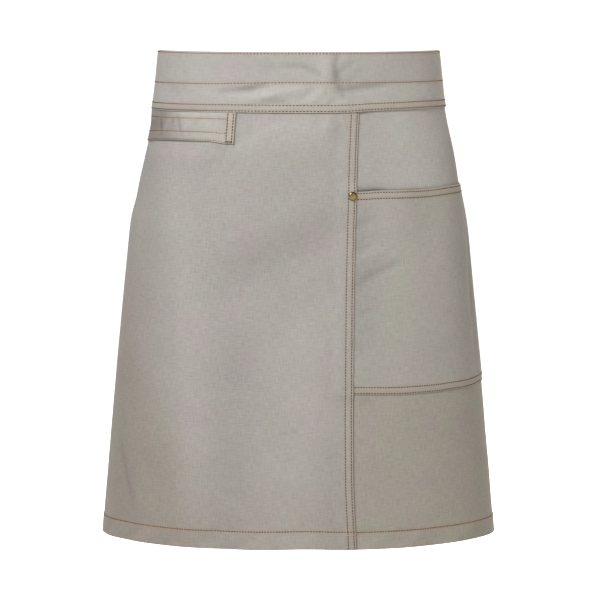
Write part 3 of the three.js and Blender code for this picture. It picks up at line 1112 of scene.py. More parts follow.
class Panels:
    """What the panels, pocket, strap and band share: the lapped seam, the hems and how edges run."""

    # along, how far each edge lies below its height
    BAND_EDGE = (
        (-140, 0.5), (-60, 0.2), (0, 0.6), (42, 0.4), (55, -0.1), (68, -0.9), (100, -1.5), (130, -1.9),
    )
    MOUTH_EDGE = ((57, 1.2), (66, 0.9), (80, 0.1), (140, 0.0), (165, -1.0), (200, -1.6), (280, -1.8))
    LOW_EDGE = (
        (57, 0.4), (68, 0.5), (85, 1.2), (104, 1.6), (125, 1.5), (150, 1.1),
        (165, 0.4), (190, 0.0), (207, -0.8), (228, -2.0), (280, -2.0),
    )
    # along, painted light beside the seam: how much paler the cloth is, and painted shade where below 0
    SIDE_SHADING = (
        (57, -0.12), (75, -0.08), (95, 0.0), (115, 0.06),
        (140, 0.08), (165, 0.05), (190, -0.04), (215, -0.1),
    )
    SIDE_SHADING_END = (230.0, 340.0)
    # where meshes need closer lines above and below each edge
    BAND_LINES = (-1.0, 0.8)
    MOUTH_LINES = (-1.4, 0.6)
    LOW_LINES = (-1.4, 0.2, 1.6)
    # how quickly turned hems thicken the cloth, and how far below the band side hems start
    HEM_STEP, SIDE_HEM_START = 0.4, 4.0
    # ripples of the turned hem, with painted light and shade on them, and where they start and are full
    # above and below its row
    HEM_RIPPLE, RIPPLE_RUB, RIPPLE_SLANT, RIPPLE_STRETCH = 0.7, 0.08, 1.4, 0.25
    RIPPLE_SEED, RIPPLE_CELL = 23, 13.0
    ROPE_FROM, ROPE_FULL = -3.0, 5.0

    def __init__(self, pattern: Pattern) -> None:
        """Make the edges' curves.

        Args:
            pattern: shared sizes.
        """
        self.pattern = pattern
        self.band_edge = SmoothTable(self.BAND_EDGE)
        self.mouth_edge = SmoothTable(self.MOUTH_EDGE)
        self.low_edge = SmoothTable(self.LOW_EDGE)
        self.shaded = SmoothTable(self.SIDE_SHADING)
        self.ripple = SoftNoise(self.RIPPLE_SEED, self.RIPPLE_CELL)

    def band_low(self, along: Array) -> Array:
        """The drop of the waistband's lower edge."""
        return self.pattern.band_height + self.band_edge(along)

    def mouth(self, along: Array) -> Array:
        """The drop of the pocket's mouth."""
        return self.pattern.pocket_mouth + self.mouth_edge(along)

    def pocket_low(self, along: Array) -> Array:
        """The drop of the pocket's lower edge."""
        return self.pattern.pocket_low + self.low_edge(along)

    def beside_pocket(self, drop: Array) -> Array:
        """1 beside the pocket's end and 0 above and below it.

        Args:
            drop: distances below the top edge.

        Returns:
            Shares from 0 to 1.
        """
        p = self.pattern
        above = smoothstep(p.pocket_mouth - p.pocket_fade, p.pocket_mouth - p.gap, drop)
        return above * smoothstep(-p.pocket_low - p.pocket_fade, -p.pocket_low - p.gap, -drop)

    def lap_lift(self, along: Array, drop: Array) -> Array:
        """How far the front panel is lifted by what it laps over.

        Args:
            along: distances round the body from the centre front.
            drop: distances below the top edge.

        Returns:
            Distances outwards.
        """
        p = self.pattern
        climb = smoothstep(p.lap_foot, p.lap_crest, along)
        return p.layer * (1.0 + self.beside_pocket(drop)) * climb

    def turned_in(self, along: Array, drop: Array) -> Array:
        """1 in the bottom hem and the side hems, below the waistband.

        Args:
            along: distances round the body from the centre front.
            drop: distances below the top edge.

        Returns:
            Shares from 0 to 1.
        """
        p = self.pattern
        hem = smoothstep(p.hem_top - self.HEM_STEP, p.hem_top, drop)
        side = p.back_edge - p.side_hem
        side = smoothstep(side - self.HEM_STEP, side, np.abs(along))
        below = smoothstep(p.band_height, p.band_height + self.SIDE_HEM_START, drop)
        return np.maximum(hem, side * below)

    def side_shading(self, along: Array, drop: Array) -> Array:
        """Painted light beside the seam, painted shade where below 0, which fades further down."""
        return self.shaded(along) * (1.0 - smoothstep(*self.SIDE_SHADING_END, drop))

    def roping(self, along: Array, drop: Array) -> Array:
        """Slanting ripples of the turned hem, from -1 to 1, strongest between its row and its edge.

        Args:
            along: distances round the body from the centre front.
            drop: distances below the top edge.

        Returns:
            Shares from -1 to 1.
        """
        p = self.pattern
        deep = smoothstep(p.hem_row + self.ROPE_FROM, p.hem_row + self.ROPE_FULL, drop)
        slant = along + self.RIPPLE_SLANT * (drop - p.hem_row)
        return deep * self.ripple(slant, self.RIPPLE_STRETCH * drop)


@dataclass
class ClothPiece:
    """A sewn piece of cloth. Its own two directions, u and v, are mostly along and drop.

    Its flat size is in metres, with the hems and folds that the mesh doesn't show.
    """

    pattern: Pattern
    form: WornForm
    panels: Panels
    piece: str
    node: str
    slot: str
    finish: TwillFinish
    flat: tuple[float, float]
    held: Held
    rests_on: str
    # distance between lines of the mesh, how its edges are rounded, and the painted shade along its
    # rims
    step: float = 3.0
    edge_round: float = 0.55
    edge_share: float = 0.2
    edge_dark: float = 0.35
    edge_dark_width: float = 0.3

    def __post_init__(self) -> None:
        """Place the rows of stitches."""
        self.seams = self.rows()
        self.object: bpy.types.Object | None = None
        self.thread: bpy.types.Object | None = None

    def rows(self) -> tuple[Seam, ...]:
        """The piece's rows of stitches."""
        return ()

    def extent(self) -> tuple[float, float, float, float]:
        """The first and last u, and the first and last v."""
        raise NotImplementedError

    def corner(self, u: Array, v: Array, skin: int) -> Places:
        """The along, drop and out of places on the outer skin, 1, or the inner skin, 0."""
        raise NotImplementedError

    def shade(self, u: Array, v: Array, skin: int) -> Array:
        """How much painted shadow each place takes, from 0 to 1."""
        return np.zeros_like(u)

    def dark_lines(self) -> Mapping[Run, tuple[float, ...]]:
        """Where painted shadow lines lie, which need closer lines of the mesh."""
        return {}

    def dusk_shade(self, u: Array, v: Array) -> Array:
        """How much browner and darker painted shade makes the cloth, from 0 to 1."""
        return np.zeros_like(u)

    def tone(self, u: Array, v: Array) -> Array:
        """The piece's own painted light, above 0 where paler and below 0 where painted shade."""
        return np.zeros_like(u)

    def relief(self, u: Array, v: Array, skin: int) -> Array:
        """What the seams that show on a skin do to it, outwards from that skin."""
        rows = (seam.relief(u, v) for seam in self.seams if skin in seam.face.value)
        return sum(rows, np.zeros_like(u))

    def lines(self) -> tuple[Array, Array]:
        """The lines of the mesh in both directions.

        Returns:
            Rising places in the first and second directions.
        """
        u0, u1, v0, v1 = self.extent()
        fine = {run: list(self.dark_lines().get(run, ())) for run in Run}
        for seam in self.seams:
            fine[seam.run] += seam.places
        across = grid_lines(u0, u1, self.step, fine[Run.DOWN])
        return across, grid_lines(v0, v1, self.step, fine[Run.ROUND])

    def skin(self, u: Array, v: Array, skin: int) -> Array:
        """Points on a skin."""
        return self.form.place(*self.corner(u, v, skin))

    def build(self) -> bpy.types.Object:
        """Build the cloth as a closed wall with rounded edges.

        Returns:
            The cloth's object.
        """
        us, vs = self.lines()
        u, v = np.meshgrid(us, vs)
        outer, inner = self.skin(u, v, 1), self.skin(u, v, 0)
        u0, u1, v0, v1 = self.extent()
        edge = np.minimum(np.minimum(u - u0, u1 - u), np.minimum(v - v0, v1 - v))
        inset = np.clip(1.0 - edge / self.edge_round, 0.0, 1.0)
        full = np.sqrt(1.0 - inset**2) * (1.0 - self.edge_share) + self.edge_share
        middle = (outer + inner) / 2.0
        skins = [middle + (skin - middle) * full[..., None] for skin in (outer, inner)]
        points = np.concatenate([skin.reshape(-1, 3) for skin in skins])
        # painted shade along the rims, and the painted shadow lines past edges
        rim = self.edge_dark * np.clip(1.0 - edge / self.edge_dark_width, 0.0, 1.0)
        shade = [np.maximum(self.shade(u, v, skin), rim).ravel() for skin in (1, 0)]
        strips = sum((s.tinge(u, v) for s in self.seams if 1 in s.face.value), np.zeros_like(u))
        cloth = np.stack([u, v, np.zeros_like(u)], -1).reshape(-1, 3)
        along, drop, _ = self.corner(u, v, 1)
        # painted light and shade of the folds, the creases and the piece's own places
        painted_shading = self.form.painted_shading(along, drop) + self.tone(u, v)
        attributes = {
            "cloth_mm": np.concatenate([cloth, cloth]),
            "shade": np.concatenate(shade),
            "strip": np.concatenate([np.clip(strips, 0.0, 1.0).ravel(), np.zeros(u.size)]),
            "dusk_shade": np.tile(self.dusk_shade(u, v).ravel(), 2),
            "painted_shading": np.tile(painted_shading.ravel(), 2),
        }
        self.object = mesh_object(self.piece, points, wall_faces(len(us), len(vs)), attributes)
        return self.object

    def sew(self, seed: int) -> bpy.types.Object:
        """Build the piece's stitches as one object.

        Args:
            seed: seed of the small differences between stitches.

        Returns:
            The stitches' object.
        """
        draw = np.random.default_rng(seed)
        laid: list[Array] = []
        tones: list[int] = []
        for seam in self.seams:
            for place in seam.places:
                u, v = seam.path(place)
                for skin in seam.face.value:
                    here = self.skin(u, v, skin)
                    away = self.skin(u, v, 1 - skin)
                    laid.append(seam.stitch.lay(here, unit(here - away), seam.pitch, draw))
                    tones += [list(ThreadTone).index(seam.tone)] * len(laid[-1])
        rings = np.concatenate(laid)
        count, stations, sides, _ = rings.shape
        strand = np.repeat(draw.uniform(0.0, 1.0, count), stations * sides)
        faces = CLOSE_STITCH.faces(count)
        name = f"{self.piece}_stitches"
        self.thread = mesh_object(name, rings.reshape(-1, 3), faces, {"strand": strand})
        tone = np.concatenate([np.repeat(tones, (stations - 1) * sides), np.tile(tones, 2)])
        self.thread.data.polygons.foreach_set("material_index", tone.astype(np.int32))
        return self.thread

    def dress(self, threads: Sequence[bpy.types.Material]) -> None:
        """Give the cloth and its stitches their materials and tie them to the frame.

        Args:
            threads: the materials of the thread's shades.
        """
        self.object.data.materials.append(self.finish.material())
        tie(self.object, self.node)
        if self.thread is not None:
            for thread in threads:
                self.thread.data.materials.append(thread)
            tie(self.thread)

    def declare(self) -> None:
        """Does nothing: the cloth's flat size and what holds it are only kept as fields."""


@dataclass
class HungPanel(ClothPiece):
    """A panel that hangs from the waistband, with its hems turned in."""

    held: Held = Held.HUNG
    rests_on: str = "waistband"
    # how much of its seams' relief the inner skin shows
    inner_relief: float = 0.5

    def lift(self, u: Array, v: Array) -> Array:
        """How far the panel is lifted by what it laps over."""
        return np.zeros_like(u)

    def turned(self, u: Array, v: Array) -> Array:
        """1 where the cloth is turned in, and 0 elsewhere."""
        return self.panels.turned_in(u, v)

    def corner(self, u: Array, v: Array, skin: int) -> Places:
        """The panel's places, rippled along the hem outside and thicker in the hems inside.

        Args:
            u: places in the piece's first direction.
            v: places in its second direction.
            skin: 1 for the outer skin, or 0 for the inner one.

        Returns:
            Along, drop and out.
        """
        lift, cloth = self.lift(u, v), self.pattern.cloth
        relief = self.relief(u, v, skin)
        if skin:
            return u, v, lift + cloth + relief + self.panels.HEM_RIPPLE * self.panels.roping(u, v)
        return u, v, lift - cloth * self.turned(u, v) - relief * self.inner_relief

    def tone(self, u: Array, v: Array) -> Array:
        """Painted light and shade on the ripples along the hem."""
        return self.panels.RIPPLE_RUB * self.panels.roping(u, v)


@dataclass
class FrontPanel(HungPanel):
    """The large panel, whose folded edge lies on top in the lapped seam."""

    piece: str = "front_panel_cloth"
    node: str = "front_panel"
    slot: str = "front_twill"
    finish: TwillFinish = TwillFinish("front_cotton_twill", "#b9b4b0", "#9f9a95")
    flat: tuple[float, float] = (0.424, 0.483)
    # over which length the hem ends at the lap, and how far down the painted shadow beside the strap
    # runs
    hem_fade: float = 1.0
    strap_over: float = 1.03
    # how warm the lapped seam's thread makes the cloth
    seam_glow: float = 0.6
    seam_strip_glow: float = 0.4
    under_band: PaintedShadowLine = PaintedShadowLine(0.08, 0.4)
    beside_strap: PaintedShadowLine = PaintedShadowLine(0.9, 0.9)
    # where painted shade turns the cloth browner and darker: towards the hip, lower on that side, and
    # towards the hem
    dusk_hip: tuple[float, float] = (130.0, 205.0)
    dusk_drop: tuple[float, float] = (110.0, 320.0)
    dusk_hem: tuple[float, float] = (380.0, 490.0)
    dusk_shares: tuple[float, float] = (1.0, 0.45)
    # how far in from the hip the painted shade spreads further down, and over which drops
    dusk_spread: float = 45.0
    spread_drop: tuple[float, float] = (300.0, 430.0)

    def rows(self) -> tuple[Seam, ...]:
        """The lapped seam, the hem, the side hem and the strap's tacking, which shows inside.

        Returns:
            The seams.
        """
        p = self.pattern
        lapped = places_beside(p.seam, p.row_insets)
        tacked = places_beside(p.strap_front, p.row_insets)
        start, stop = p.row_clear - p.back_edge, p.seam - p.row_near
        glows = {"glow": self.seam_glow, "strip_glow": self.seam_strip_glow}
        return (
            Seam(Run.DOWN, lapped, p.row_top, p.row_end, **glows),
            Seam(Run.ROUND, (p.hem_row,), start, stop, Face.BOTH, ThreadTone.COPPER),
            Seam(Run.DOWN, (p.side_row - p.back_edge,), p.row_top, p.row_end, Face.BOTH),
            Seam(Run.DOWN, tacked, p.band_height, p.band_height + p.strap_width, Face.INSIDE),
        )

    def extent(self) -> tuple[float, float, float, float]:
        """From the back edge to the lapped seam, and from inside the band to the hem."""
        p = self.pattern
        return -p.back_edge, p.seam, p.panel_top, p.length

    def lift(self, u: Array, v: Array) -> Array:
        """How far the panel is lifted in the lapped seam."""
        return self.panels.lap_lift(u, v)

    def turned(self, u: Array, v: Array) -> Array:
        """1 in the hems, which stop where the panel climbs to lap over."""
        foot = self.pattern.lap_foot
        return super().turned(u, v) * (1.0 - smoothstep(foot - self.hem_fade, foot, u))

    def dusk_shade(self, u: Array, v: Array) -> Array:
        """Painted shade, browner and darker, towards the hip and the hem.

        Args:
            u: places in the piece's first direction.
            v: places in its second direction.

        Returns:
            Shares from 0 to 1.
        """
        hip, hem = self.dusk_shares
        spread = self.dusk_spread * smoothstep(*self.spread_drop, v)
        lower = smoothstep(*self.dusk_hip, spread - u) * smoothstep(*self.dusk_drop, v)
        return np.clip(hip * lower + hem * smoothstep(*self.dusk_hem, v), 0.0, 1.0)

    def dark_lines(self) -> Mapping[Run, tuple[float, ...]]:
        """Along the waistband's lower edge and beside the strap.

        Returns:
            Places of the lines, by the way they run.
        """
        p = self.pattern
        band = places_beside(p.band_height, self.panels.BAND_LINES, 1.0)
        return {Run.ROUND: band, Run.DOWN: (p.strap_front - p.strap_lean, p.strap_front)}

    def shade(self, u: Array, v: Array, skin: int) -> Array:
        """Painted shadow lines under the waistband and beside the strap.

        Args:
            u: places in the piece's first direction.
            v: places in its second direction.
            skin: 1 for the outer skin, or 0 for the inner one.

        Returns:
            Shares from 0 to 1.
        """
        p = self.pattern
        share = (v - p.band_height) / p.strap_width
        beside = self.beside_strap.past(u - p.strap_front + p.strap_lean * share)
        beside = beside * (share > 0.0) * (share < self.strap_over)
        return skin * np.maximum(self.under_band.past(v - self.panels.band_low(u)), beside)


@dataclass
class SidePanel(HungPanel):
    """The narrower panel, from under the lapped seam to the other back edge."""

    piece: str = "side_panel_cloth"
    node: str = "side_panel"
    slot: str = "side_twill"
    finish: TwillFinish = TwillFinish("side_cotton_twill", "#bcb9b4", "#a39f9a")
    flat: tuple[float, float] = (0.318, 0.483)
    beside_seam: PaintedShadowLine = PaintedShadowLine(1.0, 0.6)
    under_band: PaintedShadowLine = PaintedShadowLine(0.25, 0.4)
    above_mouth: PaintedShadowLine = PaintedShadowLine(1.0, 1.4)
    below_pocket: PaintedShadowLine = PaintedShadowLine(0.35, 0.35)
    # where the painted shadow line above the mouth fades and the one below the lower edge grows, away
    # from the seam, and how far
    mouth_fade: tuple[float, float] = (74.0, 98.0)
    mouth_least: float = 0.45
    mouth_widen: float = 0.5
    low_grow: tuple[float, float] = (105.0, 135.0)
    low_least: float = 0.3
    # painted light above the pocket: how much paler the cloth is, and where that ends behind it
    top_highlight: float = 0.08
    top_highlight_end: tuple[float, float] = (150.0, 220.0)
    # where that turns to painted shade towards the hip, and how many times over it is lost there
    top_far: tuple[float, float] = (165.0, 210.0)
    top_loss: float = 2.5
    dusk_share: float = 0.85

    def rows(self) -> tuple[Seam, ...]:
        """The hem, the side hem, and what shows inside of the lapped seam and the pocket.

        Returns:
            The seams.
        """
        p = self.pattern
        lapped = places_beside(p.seam, p.row_insets)
        end = places_beside(p.pocket_far, p.row_insets)
        low = places_beside(p.pocket_low, p.low_insets)
        start, stop = p.seam + p.row_clear, p.back_edge - p.row_clear
        return (
            Seam(Run.DOWN, lapped, p.row_top, p.row_end, Face.INSIDE),
            Seam(Run.ROUND, (p.side_hem_row,), start, stop, Face.BOTH, ThreadTone.COPPER),
            Seam(Run.DOWN, (p.back_edge - p.side_row,), p.row_top, p.row_end, Face.BOTH),
            Seam(Run.DOWN, end, p.pocket_mouth, p.pocket_low, Face.INSIDE),
            Seam(Run.ROUND, low, p.seam, p.pocket_far, Face.INSIDE),
        )

    def extent(self) -> tuple[float, float, float, float]:
        """From under the lapped seam to the back edge, and from inside the band to the hem."""
        p = self.pattern
        return p.seam - p.lap, p.back_edge, p.panel_top, p.length

    def tone(self, u: Array, v: Array) -> Array:
        """Painted light and shade beside the seam and above the pocket, and on the ripples along the
        hem.

        Args:
            u: places in the piece's first direction.
            v: places in its second direction.

        Returns:
            Shares of tone, above 0 where it is paler.
        """
        top = self.top_highlight * (1.0 - smoothstep(*self.top_highlight_end, v))
        top = top * (1.0 - self.top_loss * smoothstep(*self.top_far, u))
        return top + self.panels.side_shading(u, v) + super().tone(u, v)

    def dusk_shade(self, u: Array, v: Array) -> Array:
        """Painted shade, browner and darker, further down, behind the pocket and below it."""
        return self.dusk_share * smoothstep(self.pattern.pocket_mouth, self.pattern.pocket_low, v)

    def dark_lines(self) -> Mapping[Run, tuple[float, ...]]:
        """Along the waistband, the pocket's mouth and lower edge, and the seam.

        Returns:
            Places of the lines, by the way they run.
        """
        p, panels = self.pattern, self.panels
        band = places_beside(p.band_height, panels.BAND_LINES, 1.0)
        mouth = places_beside(p.pocket_mouth, panels.MOUTH_LINES, 1.0)
        low = places_beside(p.pocket_low, panels.LOW_LINES, 1.0)
        return {Run.ROUND: band + mouth + low, Run.DOWN: (p.seam,)}

    def shade(self, u: Array, v: Array, skin: int) -> Array:
        """Painted shadow lines beside the seam, under the waistband and round the pocket.

        Args:
            u: places in the piece's first direction.
            v: places in its second direction.
            skin: 1 for the outer skin, or 0 for the inner one.

        Returns:
            Shares from 0 to 1.
        """
        p = self.pattern
        beside = self.beside_seam.past(u - p.seam)
        under = self.under_band.past(v - self.panels.band_low(u))
        fade, grow = smoothstep(*self.mouth_fade, u), smoothstep(*self.low_grow, u)
        over = (self.panels.mouth(u) - v) * (1.0 - self.mouth_widen * (1.0 - fade))
        above = self.above_mouth.past(over) * (1.0 - (1.0 - self.mouth_least) * fade)
        below = self.below_pocket.past(v - self.panels.pocket_low(u))
        below = below * (self.low_least + (1.0 - self.low_least) * grow)
        on_pocket = u < p.pocket_far
        return skin * np.maximum.reduce([beside, under, above * on_pocket, below * on_pocket])


@dataclass
class PatchPocket(ClothPiece):
    """The pocket on the side panel, caught in the lapped seam, with its mouth open a little."""

    piece: str = "pocket_cloth"
    node: str = "pocket"
    slot: str = "pocket_twill"
    finish: TwillFinish = TwillFinish("pocket_cotton_twill", "#bab6b0", "#a19c96")
    flat: tuple[float, float] = (0.245, 0.225)
    held: Held = Held.LAID
    rests_on: str = "side_panel"
    step: float = 2.6
    # how far the pocket reaches under the seam
    tuck: float = 9.0
    # how far its mouth stands open, between which places, and how far down
    gape: float = 5.0
    gape_from: float = 59.0
    gape_to: float = 150.0
    gape_depth: float = 150.0
    # over which width its sewn edges are pressed, and how much air and cloth they lose
    press_width: float = 10.0
    press_air: float = 0.22
    press_cloth: float = 0.4
    beside_seam: PaintedShadowLine = PaintedShadowLine(0.85, 0.4)

    def rows(self) -> tuple[Seam, ...]:
        """The mouth, the lower edge and the hidden end.

        Returns:
            The seams.
        """
        p = self.pattern
        start, stop = p.seam + p.row_close, p.pocket_far - p.row_clear
        top, foot = p.pocket_mouth + p.row_clear, p.pocket_low - p.row_clear
        return (
            Seam(Run.ROUND, places_beside(p.pocket_mouth, p.row_insets, 1.0), start, stop),
            Seam(Run.ROUND, places_beside(p.pocket_low, p.low_insets), start, stop),
            Seam(Run.DOWN, places_beside(p.pocket_far, p.row_insets), top, foot),
        )

    def extent(self) -> tuple[float, float, float, float]:
        """From under the seam to the hidden end, and from the mouth to the lower edge."""
        p = self.pattern
        return p.seam - self.tuck, p.pocket_far, p.pocket_mouth, p.pocket_low

    def corner(self, u: Array, v: Array, skin: int) -> Places:
        """The pocket's places, standing off at the mouth and pressed flat at its sewn edges.

        Args:
            u: places in the piece's first direction.
            v: places in its second direction.
            skin: 1 for the outer skin, or 0 for the inner one.

        Returns:
            Along, drop and out.
        """
        p = self.pattern
        depth = np.clip(1.0 - (v - p.pocket_mouth) / self.gape_depth, 0.0, 1.0)
        sewn = np.minimum(p.pocket_low - v, p.pocket_far - u)
        pressed = smoothstep(-self.press_width, 0.0, -sewn)
        stand = p.layer - self.press_air * pressed
        stand = stand + self.gape * swell(self.gape_from, self.gape_to, u) * depth**2
        thick = p.cloth - self.press_cloth * pressed + self.relief(u, v, 1)
        down = (v - p.pocket_mouth) / (p.pocket_low - p.pocket_mouth)
        drop = v + (1.0 - down) * self.panels.mouth_edge(u) + down * self.panels.low_edge(u)
        return u, drop, stand + skin * thick

    def dark_lines(self) -> Mapping[Run, tuple[float, ...]]:
        """Along the seam."""
        return {Run.DOWN: (self.pattern.seam,)}

    def tone(self, u: Array, v: Array) -> Array:
        """Painted light and shade beside the seam."""
        return self.panels.side_shading(u, v)

    def shade(self, u: Array, v: Array, skin: int) -> Array:
        """A painted shadow line beside the seam."""
        return skin * self.beside_seam.past(u - self.pattern.seam)


@dataclass
class Waistband(ClothPiece):
    """A strip folded over the panels' tops. v runs from the outer edge, below 0, to the inner edge."""

    piece: str = "waistband_cloth"
    node: str = "waistband"
    slot: str = "band_twill"
    finish: TwillFinish = TwillFinish("band_cotton_twill", "#bdb9b5", "#a4a09c")
    flat: tuple[float, float] = (0.72, 0.126)
    held: Held = Held.FOLDED
    rests_on: str = "front_panel"
    step: float = 2.3
    inner_height: float = 60.0
    # height of the rolled fold, and of its inner skin
    roll: float = 1.5
    roll_inside: float = 0.7
    # heights of the rows of stitches
    single_row: float = 31.4
    twin_insets: tuple[float, float] = (1.8, 7.7)
    edge_row: float = 1.8
    pitch: float = 3.5
    # where the strip starts to follow its lower edge, and how widely the single row pulls it
    settle: tuple[float, float] = (30.0, 53.0)
    drift_width: float = 9.0
    # painted light: how much paler it is towards both hips and below the single row, and where that
    # starts
    hip_highlight: float = 0.055
    hip_from: tuple[float, float] = (45.0, 110.0)
    far_highlight: float = 0.08
    far_from: tuple[float, float] = (80.0, 150.0)
    low_highlight: float = 0.075
    low_rise: float = 4.0
    low_end: float = 1.0
    # along, how far the single row lies below its height
    SINGLE_LINE = ((-145, 1.4), (-80, 0.8), (-55, 0.1), (-18, -0.4), (40, -0.3), (110, 0.0))

    def __post_init__(self) -> None:
        """Make the single row's curve, and place the rows."""
        self.single_line = SmoothTable(self.SINGLE_LINE)
        super().__post_init__()

    def rows(self) -> tuple[Seam, ...]:
        """The row at the fold, the single row and the twin rows, outside and inside.

        Returns:
            The seams.
        """
        p = self.pattern
        stop = p.back_edge - p.row_near
        twin = places_beside(p.band_height, self.twin_insets)
        kinds = (
            ((self.edge_row,), FINE_STITCH, ThreadTone.BROWN),
            ((self.single_row,), FINE_STITCH, ThreadTone.COPPER),
            (twin, OPEN_STITCH, ThreadTone.BROWN),
        )
        return tuple(
            Seam(
                Run.ROUND, tuple(side * place for place in places), -stop, stop,
                tone=tone, stitch=stitch, pitch=self.pitch,
            )
            for side in (-1.0, 1.0)
            for places, stitch, tone in kinds
        )

    def extent(self) -> tuple[float, float, float, float]:
        """From one back edge to the other, and from the outer edge over the fold to the inner one."""
        p = self.pattern
        return -p.back_edge, p.back_edge, -p.band_height, self.inner_height

    def corner(self, u: Array, v: Array, skin: int) -> Places:
        """The strip's places: outside, over the rolled fold, and down the inside.

        Args:
            u: places in the piece's first direction.
            v: places in its second direction.
            skin: 1 for the outer skin, or 0 for the inner one.

        Returns:
            Along, drop and out.
        """
        p = self.pattern
        climb = np.clip((u - p.lap_foot) / p.lap_ramp, 0.0, 1.0)
        lift = p.layer * (1.0 + climb - np.clip((u - p.seam) / p.lap_ramp, 0.0, 1.0))
        outside, inside = lift + p.cloth, -p.gap - p.cloth
        turn = np.clip(v / self.roll, -1.0, 1.0) * math.pi / 2.0
        middle, reach = (outside + inside) / 2.0, (outside - inside) / 2.0
        thin = p.cloth * (1 - skin)
        out = middle - (reach - thin) * np.sin(turn)
        out = out - np.sign(v) * self.relief(u, v, 1) * skin
        height = np.abs(v)
        fall = smoothstep(*self.settle, height) * self.panels.band_edge(u)
        fall = fall + self.single_line(u) * ridge(height - self.single_row, self.drift_width)
        rolled = self.roll - (self.roll - self.roll_inside * (1 - skin)) * np.cos(turn)
        return u, np.where(height < self.roll, rolled, height + fall * (v < 0.0)), out

    def tone(self, u: Array, v: Array) -> Array:
        """Painted light towards the hip above the single row, and between that row and the twin rows.

        Args:
            u: places in the piece's first direction.
            v: places in its second direction.

        Returns:
            Shares of tone, above 0 where it is paler.
        """
        twin = self.pattern.band_height - self.twin_insets[1]
        below = smoothstep(self.single_row, self.single_row + self.low_rise, -v)
        above = self.hip_highlight * smoothstep(*self.hip_from, -u) * (1.0 - below)
        far = self.far_highlight * smoothstep(*self.far_from, u)
        return above + far + self.low_highlight * below * smoothstep(-twin, self.low_end - twin, v)


